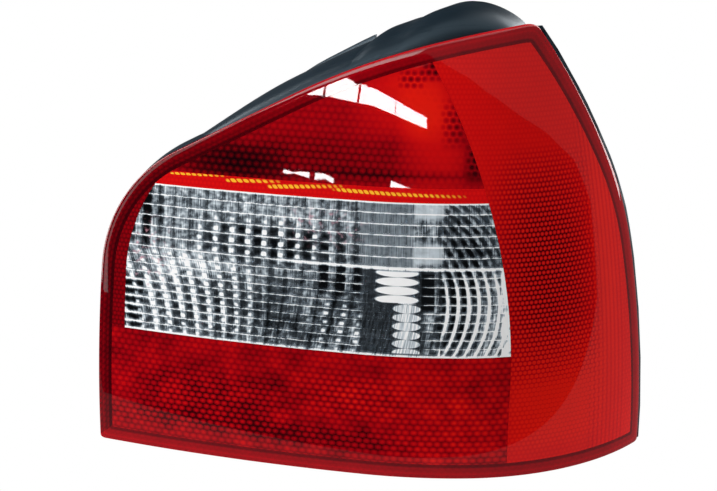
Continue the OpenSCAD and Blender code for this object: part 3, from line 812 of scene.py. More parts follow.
@dataclass(frozen=True)
class WindowOptic(Optic):
    """A clear acrylic with painted reflections that show the reflector's columns as light and dark cells on its
    flutes.

    Rows of flutes stand as (start, pitch). The window's painted parts are the flat grey plate and the pale
    blocks of the indicator, and the stack of bright ovals of painted reflection in the painted shadow of the
    reversing lamp.
    """

    flutes_low: Place = (68.3, 4.67)
    flutes_high: Place = (115.0, 5.583)
    rows_low: float = 10.0
    column: float = 9.3
    end_column: float = 5.6
    end_start: float = 196.0
    bend: tuple[float, float, float] = (112.0, 0.42, 0.003)
    end_bend: Place = (96.0, 0.011)
    base: float = 0.62
    cell_depth: float = 0.34
    # painted light and shade over whole cells, their glints, their highlights and their dark parts
    patches: tuple[PaintedPatch, ...] = (
        PaintedPatch(Part.WHOLE, (80.0, 138.0), (80.0, 22.0), 0.08),
        PaintedPatch(Part.WHOLE, (50.0, 96.0), (54.0, 34.0), 0.26),
        PaintedPatch(Part.WHOLE, (118.0, 86.0), (48.0, 24.0), -0.2),
        PaintedPatch(Part.WHOLE, (216.0, 90.0), (24.0, 34.0), 0.18),
        PaintedPatch(Part.PAINTED_GLINT, (98.0, 124.0), (46.0, 12.0), 1.3),
        PaintedPatch(Part.PAINTED_GLINT, (52.0, 92.0), (52.0, 26.0), 1.1),
        PaintedPatch(Part.PAINTED_GLINT, (146.0, 84.0), (26.0, 20.0), 0.9),
        PaintedPatch(Part.PAINTED_HIGHLIGHT, (214.0, 88.0), (22.0, 28.0), 1.2),
        PaintedPatch(Part.PAINTED_SHADE, (108.0, 123.0), (60.0, 14.0), -0.9),
        PaintedPatch(Part.PAINTED_SHADE, (142.0, 107.0), (18.0, 9.0), -1.8),
        PaintedPatch(Part.PAINTED_SHADE, (29.0, 133.0), (12.0, 20.0), -1.8),
        PaintedPatch(Part.PAINTED_SHADE, (210.0, 122.0), (18.0, 30.0), -0.9),
        PaintedPatch(Part.PAINTED_SHADE, (203.0, 92.0), (16.0, 26.0), -0.9),
        PaintedPatch(Part.PAINTED_SHADE, (62.0, 86.0), (50.0, 22.0), -0.7),
    )
    # places and reaches of the painted pink tints
    painted_pink_tints: tuple[tuple[Place, Place], ...] = (((28.0, 112.0), (20.0, 22.0)), ((132.0, 134.0), (26.0, 12.0)))
    stripes: Box = Box((17.0, 29.0, 1.0), (70.0, 98.0, 4.0))
    plate: Box = Box((151.0, 181.0, 2.0), (115.5, 148.0, 1.0))
    blocks: tuple[Box, Box] = (
        Box((181.0, 197.0, 1.5), (117.0, 128.0, 3.0)),
        Box((181.0, 197.0, 1.5), (140.0, 148.5, 3.0)),
    )
    # bright ovals of painted reflection: centre and reach across, above and below the turn height
    painted_ovals: tuple[Place, Place] = ((172.5, 12.5), (178.0, 8.0))
    ovals_turn: float = 97.0
    # where the painted shadow of the reversing lamp lies
    painted_shadow: Box = Box((153.0, 187.0, 4.0), (69.5, 113.6, 1.0))
    post: Box = Box((185.5, 192.5, 0.8), (93.0, 113.0, 2.0))
    split: Box = Box((110.0, 232.0, 20.0), (114.0, 115.6, 0.5))
    rim: tuple[tuple[float, float, float], ...] = ((60.0, 69.4, 0.3), (147.7, 150.0, 0.3))
    end_rim: tuple[float, float, float] = (228.6, 240.0, 0.6)

    def shade(self, tree: Tree, across: Term, up: Term) -> Term:
        """Returns how light the painted reflection is at a place of the window."""
        lower = up.apply("LESS_THAN", self.flutes_high[0])
        below = (up - self.flutes_low[0]) / self.flutes_low[1]
        above = (up - self.flutes_high[0]) / self.flutes_high[1] + self.rows_low
        count = above + (below - above) * lower
        row, flute = count.apply("FLOOR"), count.saw()
        dome = flute.square() * -1.0 + 1.0
        middle, turn, bow = self.bend
        shift = (up - (middle + 4.0)) * turn * across.hill(20.0, 90.0) + (up - middle).square() * bow
        bent = across + shift * lower
        wave = (bent / self.column).saw()
        short = ((across + (up - self.end_bend[0]).square() * self.end_bend[1]) / self.end_column).saw()
        wave = wave.towards(short, across.apply("GREATER_THAN", self.end_start))
        painted_streaks = self.streaky(bent * 1.5, up * 0.05 + row * 3.7)
        grain = self.streaky(bent * 0.3 + row * 5.3, up * 0.4)
        cloud = self.streaky(across * 0.06, up * 0.07)
        # painted reflection of the columns: darker towards each cell's sides, with streaks and grain
        tone = wave.square().square() * -self.cell_depth + (painted_streaks + grain) * 0.9 + cloud * 0.6 + self.base
        # painted highlight in each column
        painted_highlight = ((wave - 0.3).square() * -7.0 + 1.0).apply("MAXIMUM", 0.0)
        parts = {
            Part.PAINTED_HIGHLIGHT: painted_highlight,
            Part.PAINTED_GLINT: painted_highlight * ((flute + 0.2).square() * -4.0 + 1.0).apply("MAXIMUM", 0.0),
            # painted shade: the dark part of each cell
            Part.PAINTED_SHADE: ((wave + 0.45).square() * -3.0 + 1.0).apply("MAXIMUM", 0.0) * dome,
        }
        for patch in self.patches:
            here = near(across, up, patch.centre, patch.reach) * patch.change
            tone = tone + (here * parts[patch.part] if patch.part in parts else here)
        tone = tone - self.stripes.mask(across, up) * (dome - 0.55) * 1.3
        tone = tone.towards(painted_streaks * 0.3 + 0.6, self.plate.mask(across, up) * 0.8)
        pale = self.blocks[0].mask(across, up) + self.blocks[1].mask(across, up)
        tone = tone.towards(0.92, pale * 0.8)
        low = up.apply("LESS_THAN", self.ovals_turn)
        reach = across.hill(*self.painted_ovals[0]).towards(across.hill(*self.painted_ovals[1]), low)
        painted_shadow = self.painted_shadow.mask(across, up)
        painted_ovals = ((reach - flute.square() * 0.94) * 5.0).apply("ADD", 0.0, True) * up.within(70.0, 113.6, 1.0)
        # painted shadow of the reversing lamp, then the bright ovals of painted reflection in it
        tone = tone.towards(painted_streaks + 0.2, painted_shadow * 0.85)
        tone = tone.towards((painted_streaks - 0.1) * low * 0.9 + 1.02, painted_ovals)
        tone = tone.towards(0.02, self.post.mask(across, up) * (dome * 2.2).apply("MINIMUM", 1.0))
        edge = across.within(*self.end_rim) * lower
        for side in self.rim:
            edge = edge + up.within(*side)
        # painted highlights along the flutes' cusps, weaker in the painted shadow
        cusp_highlight = ((flute.square() - 0.72) / 0.16).apply("ADD", 0.0, True) * (painted_shadow * -0.75 + 1.0)
        return tone + cusp_highlight * (grain * 1.5 + 0.45) + self.split.mask(across, up) * 0.6 + edge * 0.5

    def painted_glints(self, across: Term, up: Term) -> Term | None:
        """Returns where the window has painted pink tints that stand for red light from the lens round it."""
        first, second = (near(across, up, *place) for place in self.painted_pink_tints)
        speck = self.streaky(across * 0.35, up * 0.4) - 0.06
        return ((first + second) * speck).apply("MULTIPLY", 5.0, True)

    def streaky(self, across: Term, up: Term) -> Term:
        """Returns noise round 0 over two stretched directions."""
        join = across.tree.nodes.new("ShaderNodeCombineXYZ")
        across.tree.links.new(across.socket, join.inputs["X"])
        across.tree.links.new(up.socket, join.inputs["Y"])
        return Term(across.tree, noise(across.tree, join.outputs[0], 1.0, 1.0)) - 0.5


def slab(across: int, up: int) -> Mesh:
    """Returns a closed slab of a grid's cells, with z 0 in front, z 1 behind and x and y from -0.5 to 0.5."""
    mesh = bmesh.new()
    bmesh.ops.create_grid(mesh, x_segments=across, y_segments=up, size=0.5)
    raised = bmesh.ops.extrude_face_region(mesh, geom=mesh.faces[:], use_keep_orig=True)["geom"]
    for item in raised:
        if isinstance(item, bmesh.types.BMVert):
            item.co.z = 1.0
    return mesh


@dataclass
class Workshop:
    """Turns bmeshes into pieces that ride on the part's one body."""

    frame: dict
    merge_distance: float = 1e-6

    def piece(
        self,
        mesh: Mesh,
        name: str,
        finish: Finish | Optic,
        slot: Slot,
        replaces: tuple[str, ...] = (),
        angle: float = 40.0,
        keep_flat: bool = False,
    ) -> bpy.types.Object:
        """Makes an object from a bmesh, dresses it and ties it to the frame.

        Args:
            mesh: The bmesh, which is freed.
            name: The piece's name.
            finish: Its finish.
            slot: The record's material slot that it stands for; not used.
            replaces: The nodes that it replaces.
            angle: The angle past which an edge is drawn sharp.
            keep_flat: Whether faces keep the shading that the bmesh has given them.

        Returns:
            The object.
        """
        if mesh.calc_volume(signed=True) < 0:
            bmesh.ops.reverse_faces(mesh, faces=mesh.faces[:])
        if not keep_flat:
            for face in mesh.faces:
                face.smooth = True
        data = bpy.data.meshes.new(name)
        mesh.to_mesh(data)
        mesh.free()
        data.set_sharp_from_angle(angle=math.radians(angle))
        obj = bpy.data.objects.new(name, data)
        bpy.context.scene.collection.objects.link(obj)
        data.materials.append(finish.make())
        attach(obj, BODY)
        for node in replaces:
            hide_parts(node)
        LOG.info("%s: %d faces", name, len(data.polygons))
        return obj

    def smoothed(self, node: str, finish: Finish, slot: Slot, angle: float = 30.0) -> bpy.types.Object:
        """Replaces a node by a merged copy of itself with smooth shading.

        Args:
            node: The node's name.
            finish: The copy's finish.
            slot: Its material slot, passed on to piece, which doesn't use it.
            angle: The angle past which an edge is drawn sharp.

        Returns:
            The object.
        """
        mesh = bmesh.new()
        mesh.from_mesh(self.frame["nodes"][node].data)
        bmesh.ops.remove_doubles(mesh, verts=mesh.verts, dist=self.merge_distance)
        obj = self.piece(mesh, f"{node}_body", finish, slot, (node,), angle)
        obj.modifiers.new("weights", "WEIGHTED_NORMAL").keep_sharp = True
        return obj


@dataclass
class Zone:
    """One moulded zone of the lens: a closed plate between the face and its inner optics."""

    name: str
    left: Line
    right: Line
    low: float
    high: float
    cells: tuple[int, int]
    relief: Relief
    finish: Optic
    slot: Slot = Slot.RED
    replaces: str = "red_lens"
    facets: bool = False
    top: Callable[[float], Place] | None = None
    cuts: int = 3
    sharp_angle: float = 32.0
    facet_size: float = 2.0

    def place(self, u: float, v: float) -> Place:
        """Returns the length and height at a share u along and v up the zone."""
        if self.top is None:
            z = lerp(self.low, self.high, v)
            return lerp(self.left(z), self.right(z), u), z
        first, last, top = self.top(0.0), self.top(1.0), self.top(u)
        feet = (self.left(self.low), self.low), (self.right(self.low), self.low)
        heights = lerp(self.low, first[1], v), lerp(self.low, last[1], v)
        left, right = (self.left(heights[0]), heights[0]), (self.right(heights[1]), heights[1])
        return tuple(
            lerp(lerp(feet[0][n], feet[1][n], u), top[n], v)
            + lerp(left[n], right[n], u)
            - lerp(lerp(feet[0][n], feet[1][n], u), lerp(first[n], last[n], u), v)
            for n in (0, 1)
        )

    def build(self, form: LensForm, shop: Workshop) -> bpy.types.Object:
        """Builds the plate from a grid, its optics cut finer than its face.

        Args:
            form: The lens's shape.
            shop: Where the piece is made.

        Returns:
            The object.
        """
        mesh = slab(*self.cells)
        inner = [e for e in mesh.edges if all(v.co.z > 0.5 for v in e.verts)]
        bmesh.ops.subdivide_edges(mesh, edges=inner, cuts=self.cuts, use_grid_fill=True)
        steps = [count * (self.cuts + 1) for count in self.cells]
        layout = mesh.loops.layers.uv.new("optics")
        for vert in mesh.verts:
            u, v = vert.co.x + 0.5, vert.co.y + 0.5
            s, z = self.place(u, v)
            for loop in vert.link_loops:
                loop[layout].uv = (s, z)
            depth = form.wall + self.relief(s, z, u * steps[0], v * steps[1]) if vert.co.z > 0.5 else 0.0
            vert.co = form.point(s, z, depth)
        bmesh.ops.recalc_face_normals(mesh, faces=mesh.faces[:])
        for face in mesh.faces:
            face.smooth = not self.facets or face.calc_area() > (self.facet_size * MM) ** 2
        return shop.piece(mesh, self.name, self.finish, self.slot, (self.replaces,), self.sharp_angle, True)


def pillows(pitch: Place, height: float) -> Relief:
    """Returns the relief of staggered pillow lenses.

    Args:
        pitch: Size of a pillow along the face and up it.
        height: How far a pillow stands in.

    Returns:
        The relief as a function of length, height and grid steps.
    """

    def relief(s: float, z: float, _i: float, _j: float) -> float:
        """Returns how far the pillow at a place stands in."""
        row = math.floor(z / pitch[1])
        across = (s / pitch[0] + 0.5 * (row % 2)) % 1.0 * 2 - 1
        up = (z / pitch[1] % 1.0) * 2 - 1
        return height * (1 - 0.5 * across * across - 0.5 * up * up)

    return relief


def prisms(steps: int, height: float, nudge: float = 0.01) -> Relief:
    """Returns the relief of staggered pyramids that fit the grid.

    Args:
        steps: How many grid steps a pyramid takes.
        height: How far its tip stands in.
        nudge: Part of a step that keeps rounding from moving a pyramid.

    Returns:
        The relief as a function of length, height and grid steps.
    """

    def relief(_s: float, _z: float, i: float, j: float) -> float:
        """Returns how far the pyramid at a grid step stands in."""
        row = math.floor((j + nudge) / steps)
        across = abs(((i + nudge) / steps + 0.5 * (row % 2)) % 1.0 * 2 - 1)
        up = abs(((j + nudge) / steps % 1.0) * 2 - 1)
        return height * (1 - max(across, up))

    return relief


def beside(line: Line, gap: float) -> Line:
    """Returns a line moved along the face by a gap."""
    return lambda z: line(z) + gap


@dataclass
class Lens:
    """The red lens in its zones, its rim with the skirt, and the clear window."""

    form: LensForm
    shop: Workshop
    rim_inset: float = 8.4
    seam: float = 0.04
    apex_gap: float = 0.4
    strip_top: float = 156.0
    edge_round: float = 0.8
    bevel: float = 0.3
    rim_steps: tuple[float, float] = (3.0, 5.6)
    skirt: tuple[float, float, float] = (5.5, 8.0, 15.0)
    loop_step: float = 1.8
    sharp_angle: float = 35.0
    pillow: float = 0.62
    fine_pillow: float = 0.5
    jamb_pillow: float = 0.4
    prism: tuple[int, float] = (4, 1.0)
    flutes: tuple[int, int] = (10, 6)
    flute_height: float = 0.5
    stop: Optic = Optic(
        "stop optics", 0.6, 0.16, (4.2, 3.3),
        # painted light and shade: darker patches where the chamber behind shows dark, lighter patches and
        # clusters of dark dots
        (
            Spot((78.0, 163.0), (36.0, 12.0), -0.38, 0.2),
            Spot((120.0, 166.0), (80.0, 16.0), -0.2, 0.14),
            Spot((170.0, 162.0), (60.0, 3.0), -0.2, 0.2),
            Spot((120.0, 184.0), (60.0, 14.0), -0.05, 0.05),
            Spot((174.0, 203.0), (34.0, 26.0), 0.3, -0.16),
            Spot((190.0, 180.0), (22.0, 34.0), 0.26, -0.14),
            Spot((177.0, 209.5), (9.0, 5.5), -0.2, -0.7),
            Spot((190.0, 214.5), (9.0, 6.5), -0.3, -0.7),
            Spot((203.0, 188.0), (9.0, 14.0), -0.2, -0.6),
            Spot((215.0, 169.0), (8.0, 12.0), -0.25, -0.7),
        ),
    )
    strip: Optic = Optic(
        "strip optics", 0.83, 0.1, (2.4, 2.5),
        # painted orange glints that stand in for light from the amber bulb
        painted_streaks=(
            PaintedGlintStreak((44.0, 154.7), (77.0, 155.6), 0.7, 3.4),
            PaintedGlintStreak((77.0, 153.7), (108.0, 155.2), 1.1, 3.8),
            PaintedGlintStreak((101.0, 152.3), (143.0, 155.2), 1.2, 3.2),
            PaintedGlintStreak((139.0, 153.2), (211.0, 152.0), 1.1, 3.0),
        ),
        clarity=0.16,
    )
    jamb: Optic = Optic("jamb optics", 0.42, 0.25, (2.4, 2.4))
    fog: Optic = Optic(
        "fog optics", 0.54, 0.3, (4.2, 3.1),
        # painted light and shade: lighter and darker patches of the optics
        (
            Spot((148.0, 44.0), (34.0, 14.0), 0.14, 0.3),
            Spot((70.0, 34.0), (50.0, 18.0), -0.1, 0.35),
            Spot((120.0, 64.0), (110.0, 10.0), 0.06, -0.04),
            Spot((100.0, 20.0), (120.0, 8.0), -0.14, 0.2),
            Spot((205.0, 36.0), (44.0, 44.0), 0.14, 0.1),
        ),
        mottle=0.3,
    )
    side: Optic = Optic(
        "band optics", 0.86, 0.1, (2.6, 2.5),
        # painted light and shade: a darker patch with stronger dots and lighter patches
        (
            Spot((256.0, 112.0), (36.0, 64.0), -0.3, 1.1),
            Spot((262.0, 48.0), (34.0, 36.0), 0.16, 0.3),
            Spot((296.0, 110.0), (16.0, 120.0), 0.12, -0.08),
        ),
        ribs=(282.0, 309.0, 0.16), mottle=0.03,
    )
    border: Optic = Optic(
        "rim acrylic", 0.5, 0.05, (2.4, 2.4),
        (Spot((60.0, 4.0), (130.0, 40.0), -0.2, 0.1),),
        lines=((2.4, 3.2, 0.12), (6.4, 8.8, -0.16), (-1.0, 0.5, 0.2)), clarity=0.25,
    )
    # painted reflections of the reflector from black to white, with painted pink tints
    clear: WindowOptic = WindowOptic(
        "window optics", clarity=0.8, milky=0.45, milk=1.3, painted_glint=(0.62, 0.3, 0.36),
        stops=(
            (0.0, (0.01, 0.012, 0.015)),
            (0.3, (0.13, 0.16, 0.19)),
            (0.6, (0.32, 0.38, 0.43)),
            (0.9, (0.6, 0.67, 0.72)),
            (1.0, (1.0, 1.0, 1.0)),
        ),
    )

    def flute(self, _s: float, z: float, _i: float, _j: float) -> float:
        """Returns the relief of the window's flutes."""
        form = self.form
        if z < form.window_split:
            u = (z - form.window_bottom) / (form.window_split - form.window_bottom) * self.flutes[0]
        else:
            u = (z - form.window_split) / (form.window_top - form.window_split) * self.flutes[1]
        v = 2 * (u - math.floor(min(u, sum(self.flutes) - 1e-6))) - 1
        return max(0.0, self.flute_height * (1 - v * v))

    def outline(self, z: float) -> float:
        """Returns the length at which the zones start inside the rim, left and above."""
        return self.form.length_at_x(self.form.left_x(z, self.rim_inset), z)

    def band(self, z: float) -> float:
        """Returns the length at which the wraparound band starts."""
        return self.form.length_at_x(self.form.band_x(z), z)

    def window(self, z: float) -> float:
        """Returns the length at which the window starts."""
        return self.form.length_at_x(self.form.window_x(z), z)

    def outer(self, z: float) -> float:
        """Returns the length at which the band ends inside the rim."""
        return self.form.side_length(z, self.rim_inset)

    def zones(self) -> list[Zone]:
        """Returns the lens's zones with their edges and optics."""
        form, seam, inset = self.form, self.seam, self.rim_inset
        apex = crossing(self.strip_top, form.height - inset, lambda z: self.outline(z) < self.band(z))
        tip_x = form.tip(inset)
        tip = (form.length_at_x(tip_x, form.top_z(tip_x, inset)), form.top_z(tip_x, inset))

        def crest(u: float) -> Place:
            """Returns the place at a share u along the band's upper edge."""
            x = lerp(form.band_x(apex), tip_x, u)
            z = form.top_z(x, inset)
            return (form.length_at_x(x, z), z) if u < 1 else tip

        to_band, to_window = beside(self.band, -seam), beside(self.window, -seam)
        foot, head, top = form.window_bottom, form.window_top, self.strip_top
        return [
            Zone(
                "stop_optics", self.outline, to_band, top + seam, apex - self.apex_gap,
                (58, 22), pillows(self.stop.pitch, self.pillow), self.stop,
            ),
            Zone(
                "glow_strip", self.outline, to_band, head + seam, top - seam,
                (60, 3), pillows(self.strip.pitch, self.fine_pillow), self.strip,
            ),
            Zone(
                "inner_jamb", self.outline, to_window, foot + seam, head - seam,
                (4, 40), pillows(self.jamb.pitch, self.jamb_pillow), self.jamb,
            ),
            Zone(
                "fog_optics", self.outline, to_band, inset, foot - seam,
                (76, 22), pillows(self.fog.pitch, self.pillow), self.fog,
            ),
            Zone(
                "reflex_band", beside(self.band, seam), self.outer, inset, tip[1],
                (30, 80), prisms(*self.prism), self.side, facets=True, top=crest,
            ),
            Zone(
                "clear_window", beside(self.window, seam), to_band, foot, head,
                (50, 32), self.flute, self.clear, Slot.CLEAR, "clear_lens",
            ),
        ]

    def rim(self) -> bpy.types.Object:
        """Sweeps the rim's section with its skirt round the outline.

        Returns:
            The object.
        """
        form, r, end = self.form, self.edge_round, self.rim_inset - self.seam
        near_skirt, far_skirt, deep = self.skirt
        step, crease = self.rim_steps
        section = [
            (0.0, form.wall), (0.0, r), (r * self.bevel, r * self.bevel), (r, 0.0), (step, 0.0), (crease, 0.0),
            (end, 0.0), (end, form.wall), (far_skirt, form.wall), (far_skirt, deep), (near_skirt, deep),
            (near_skirt, form.wall), (step, form.wall),
        ]
        outline = Outline(form)
        loops = {inset: outline.loop(inset) for inset in {p[0] for p in section}}
        mesh = bmesh.new()
        ring = [mesh.verts.new(form.point(*loops[i][0], d)) for i, d in section]
        start = edges = [mesh.edges.new((a, b)) for a, b in zip(ring, ring[1:] + ring[:1])]
        for n in range(1, outline.size):
            made = bmesh.ops.extrude_edge_only(mesh, edges=edges)["geom"]
            new = [v for v in made if isinstance(v, bmesh.types.BMVert)]
            edges = [e for e in made if isinstance(e, bmesh.types.BMEdge) and all(v in new for v in e.verts)]
            ring = [next(v for v in (e.other_vert(old) for e in old.link_edges) if v in new) for old in ring]
            for vert, (i, d) in zip(ring, section):
                vert.co = form.point(*loops[i][n], d)
        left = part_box("red_lens")[0][0]
        for vert in mesh.verts:
            vert.co.x = max(vert.co.x, left)
        bmesh.ops.bridge_loops(mesh, edges=edges + start)
        bmesh.ops.recalc_face_normals(mesh, faces=mesh.faces[:])
        layout = mesh.loops.layers.uv.new("optics")
        for k, vert in enumerate(mesh.verts):
            n, m = divmod(k, len(section))
            for loop in vert.link_loops:
                loop[layout].uv = (n * self.loop_step, section[m][0])
        return self.shop.piece(mesh, "lens_rim", self.border, Slot.RED, ("red_lens",), self.sharp_angle)

    def build(self) -> None:
        """Builds every zone, then the rim."""
        for zone in self.zones():
            zone.build(self.form, self.shop)
        self.rim()


@dataclass
class Reflector:
    """The metallised reflector, with fluted back walls behind the window.

    A chamber's wall is the foremost of a trough and a bowl round its bulb and the face less a gap.
    """

    form: LensForm
    shop: Workshop
    inset: float = 14.5
    trough: float = 92.0
    trough_focus: float = 4.0
    bowl: float = 100.0
    bowl_focus: float = 22.0
    column: float = 9.3
    column_height: float = 1.1
    face_gap: float = 9.0
    wall_gap: float = 0.4
    skin: float = 0.2
    left_gap: float = 0.4
    band_gap: float = 4.6
    floor_gap: float = 0.6
    chamber_gap: float = 1.0
    hole: float = 14.0
    cells: tuple[int, int] = (240, 36)
    sharp_angle: float = 35.0
    turn_bulb: Place = (92.0, 131.0)
    reverse_bulb: Place = (172.0, 92.0)

    def depth(self, x: float, z: float, bulb: Place) -> float:
        """Returns how deep a chamber's wall lies at a place in the front view."""
        trough = self.trough - (z - bulb[1]) ** 2 / (4 * self.trough_focus)
        bowl = self.bowl - math.dist((x, z), bulb) ** 2 / (4 * self.bowl_focus)
        return max(trough, bowl, self.form.face_y(x, z, self.face_gap))

    def columns(self, name: str, bulb: Place, low: float, high: float) -> bpy.types.Object:
        """Builds the fluted skin over a chamber's back wall.

        Args:
            name: The piece's name.
            bulb: The bulb's place in the front view.
            low: Height of the chamber's floor.
            high: Height of its ceiling.

        Returns:
            The object.
        """
        form, gap = self.form, self.chamber_gap + self.floor_gap
        mesh = slab(*self.cells)
        for vert in mesh.verts:
            z = lerp(low + gap, high - gap, vert.co.y + 0.5)
            x = lerp(form.left_x(z, self.inset) + self.left_gap, form.band_x(z) - self.band_gap, vert.co.x + 0.5)
            across = (x / self.column) % 1.0 * 2 - 1
            out = self.column_height * (1 - across * across) if vert.co.z < 0.5 else -self.skin
            vert.co = form.to_row(x, self.depth(x, z, bulb) - self.wall_gap - out, z)
        gone = [f for f in mesh.faces if all(math.dist(self.front(v.co), bulb) < self.hole for v in f.verts)]
        bmesh.ops.delete(mesh, geom=gone, context="FACES")
        bmesh.ops.recalc_face_normals(mesh, faces=mesh.faces[:])
        return self.shop.piece(mesh, name, MIRROR, Slot.MIRROR, ("reflector",), self.sharp_angle)

    def front(self, co: Vector) -> Place:
        """Returns a row place's x and z in the lens's millimetres."""
        local = (co - self.form.corner) / MM
        return local.x, local.z

    def build(self) -> None:
        """Builds the shell and the two fluted walls."""
        form = self.form
        self.shop.smoothed("reflector", MIRROR, Slot.MIRROR)
        self.columns("turn_columns", self.turn_bulb, form.window_split, form.window_top)
        self.columns("reverse_columns", self.reverse_bulb, form.window_bottom, form.window_split)


@dataclass
class Housing:
    """The dark housing with its roll and hump over the lens and its lip round the lens's shoulder."""

    form: LensForm
    shop: Workshop
    roll_height: float = 13.0
    roll_foot: float = 4.0
    roll_run: float = 80.0
    saddle_lead: float = 4.0
    saddle_run: float = 26.0
    hump_height: float = 18.0
    hump_start: float = 130.0
    hump_end: float = 202.0
    hump_lean: float = 0.9
    hump_fullness: float = 0.8
    start: float = 12.0
    seat_depth: float = 118.0
    seat_gap: float = 2.0
    ridge: float = 0.62
    arch: float = 0.8
    roll_out: float = 0.06
    roll_root: float = 1.4
    roll_cells: tuple[int, int] = (190, 26)
    lip_inset: float = 1.5
    front_gap: float = 3.6
    lip_height: float = 3.0
    lip_root: float = 2.0
    lip_span: Place = (96.0, 186.0)
    lip_depths: Place = (3.2, 20.0)
    lip_rise: float = 0.35
    lip_fade: float = 0.72
    lip_arch: float = 0.8
    lip_lead: float = 0.08
    lip_steps: int = 90
    lip_cells: tuple[int, int] = (70, 8)
    shell_angle: float = 26.0
    sharp_angle: float = 50.0

    def rise(self, x: float) -> float:
        """Returns how far the housing's top stands over the lens's edge."""
        fall = ease((x - self.hump_start + self.saddle_lead) / self.saddle_run)
        roll = self.roll_height * ease((x - self.roll_foot) / self.roll_run) * (1 - fall)
        u = min(1.0, max(0.0, (x - self.hump_start) / (self.hump_end - self.hump_start)))
        return roll + self.hump_height * max(0.0, math.sin(math.pi * u**self.hump_lean)) ** self.hump_fullness

    def finished(self, mesh: Mesh, name: str) -> bpy.types.Object:
        """Makes a closed skin of the housing a piece."""
        bmesh.ops.recalc_face_normals(mesh, faces=mesh.faces[:])
        return self.shop.piece(mesh, name, HOUSING, Slot.HOUSING, ("housing",), self.sharp_angle)

    def roll(self) -> bpy.types.Object:
        """Builds the roll and hump as one smooth closed skin, kept under the housing's own top."""
        form, ceiling = self.form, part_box("housing")[1][2]
        mesh = slab(*self.roll_cells)
        for vert in mesh.verts:
            x, v = lerp(self.start, self.hump_end, vert.co.x + 0.5), vert.co.y + 0.5
            top = form.top_z(x)
            front = min(form.face_y(x, top) + self.front_gap, self.seat_depth - self.seat_gap)
            turn = min(1.0, v / self.arch) * math.pi / 2
            share = self.ridge * (1 - math.cos(turn))
            if v > self.arch:
                share = lerp(self.ridge, 1.0, (v - self.arch) / (1 - self.arch))
            z = top - self.lip_inset + self.rise(x) * math.sin(turn)
            out = self.roll_out if vert.co.z < 0.5 else -self.roll_root
            vert.co = form.to_row(x, lerp(front, self.seat_depth, share), z + out)
            vert.co.z = min(vert.co.z, ceiling)
        return self.finished(mesh, "housing_roll")

    def lip(self) -> bpy.types.Object:
        """Builds the housing's lip that shows round the lens's shoulder."""
        form, count = self.form, self.lip_cells[0]
        heights = [lerp(*self.lip_span, k / self.lip_steps) for k in range(self.lip_steps + 1)]
        spread = resample([(form.left_x(z), z) for z in heights], count + 1)
        mesh = slab(*self.lip_cells)
        for vert in mesh.verts:
            u, v = vert.co.x + 0.5, vert.co.y + 0.5
            n = min(count - 1, int(u * count + 1e-6))
            x, z = spread[round(u * count)]
            step = (spread[n + 1][0] - spread[n][0], spread[n + 1][1] - spread[n][1])
            size = math.hypot(*step)
            swell = self.lip_height * ease(u / self.lip_rise)
            swell *= 1 - ease((u - self.lip_fade) / (1 - self.lip_fade))
            out = swell * math.sin(math.pi * min(1.0, v / self.lip_arch + self.lip_lead) / 2)
            if vert.co.z > 0.5:
                out = -self.lip_root
            y = form.face_y(x, z) + lerp(*self.lip_depths, v)
            vert.co = form.to_row(x - out * step[1] / size, y, z + out * step[0] / size)
        return self.finished(mesh, "housing_lip")

    def build(self) -> None:
        """Builds the shell, the roll and the lip."""
        self.shop.smoothed("housing", HOUSING, Slot.HOUSING, self.shell_angle)
        self.roll()
        self.lip()


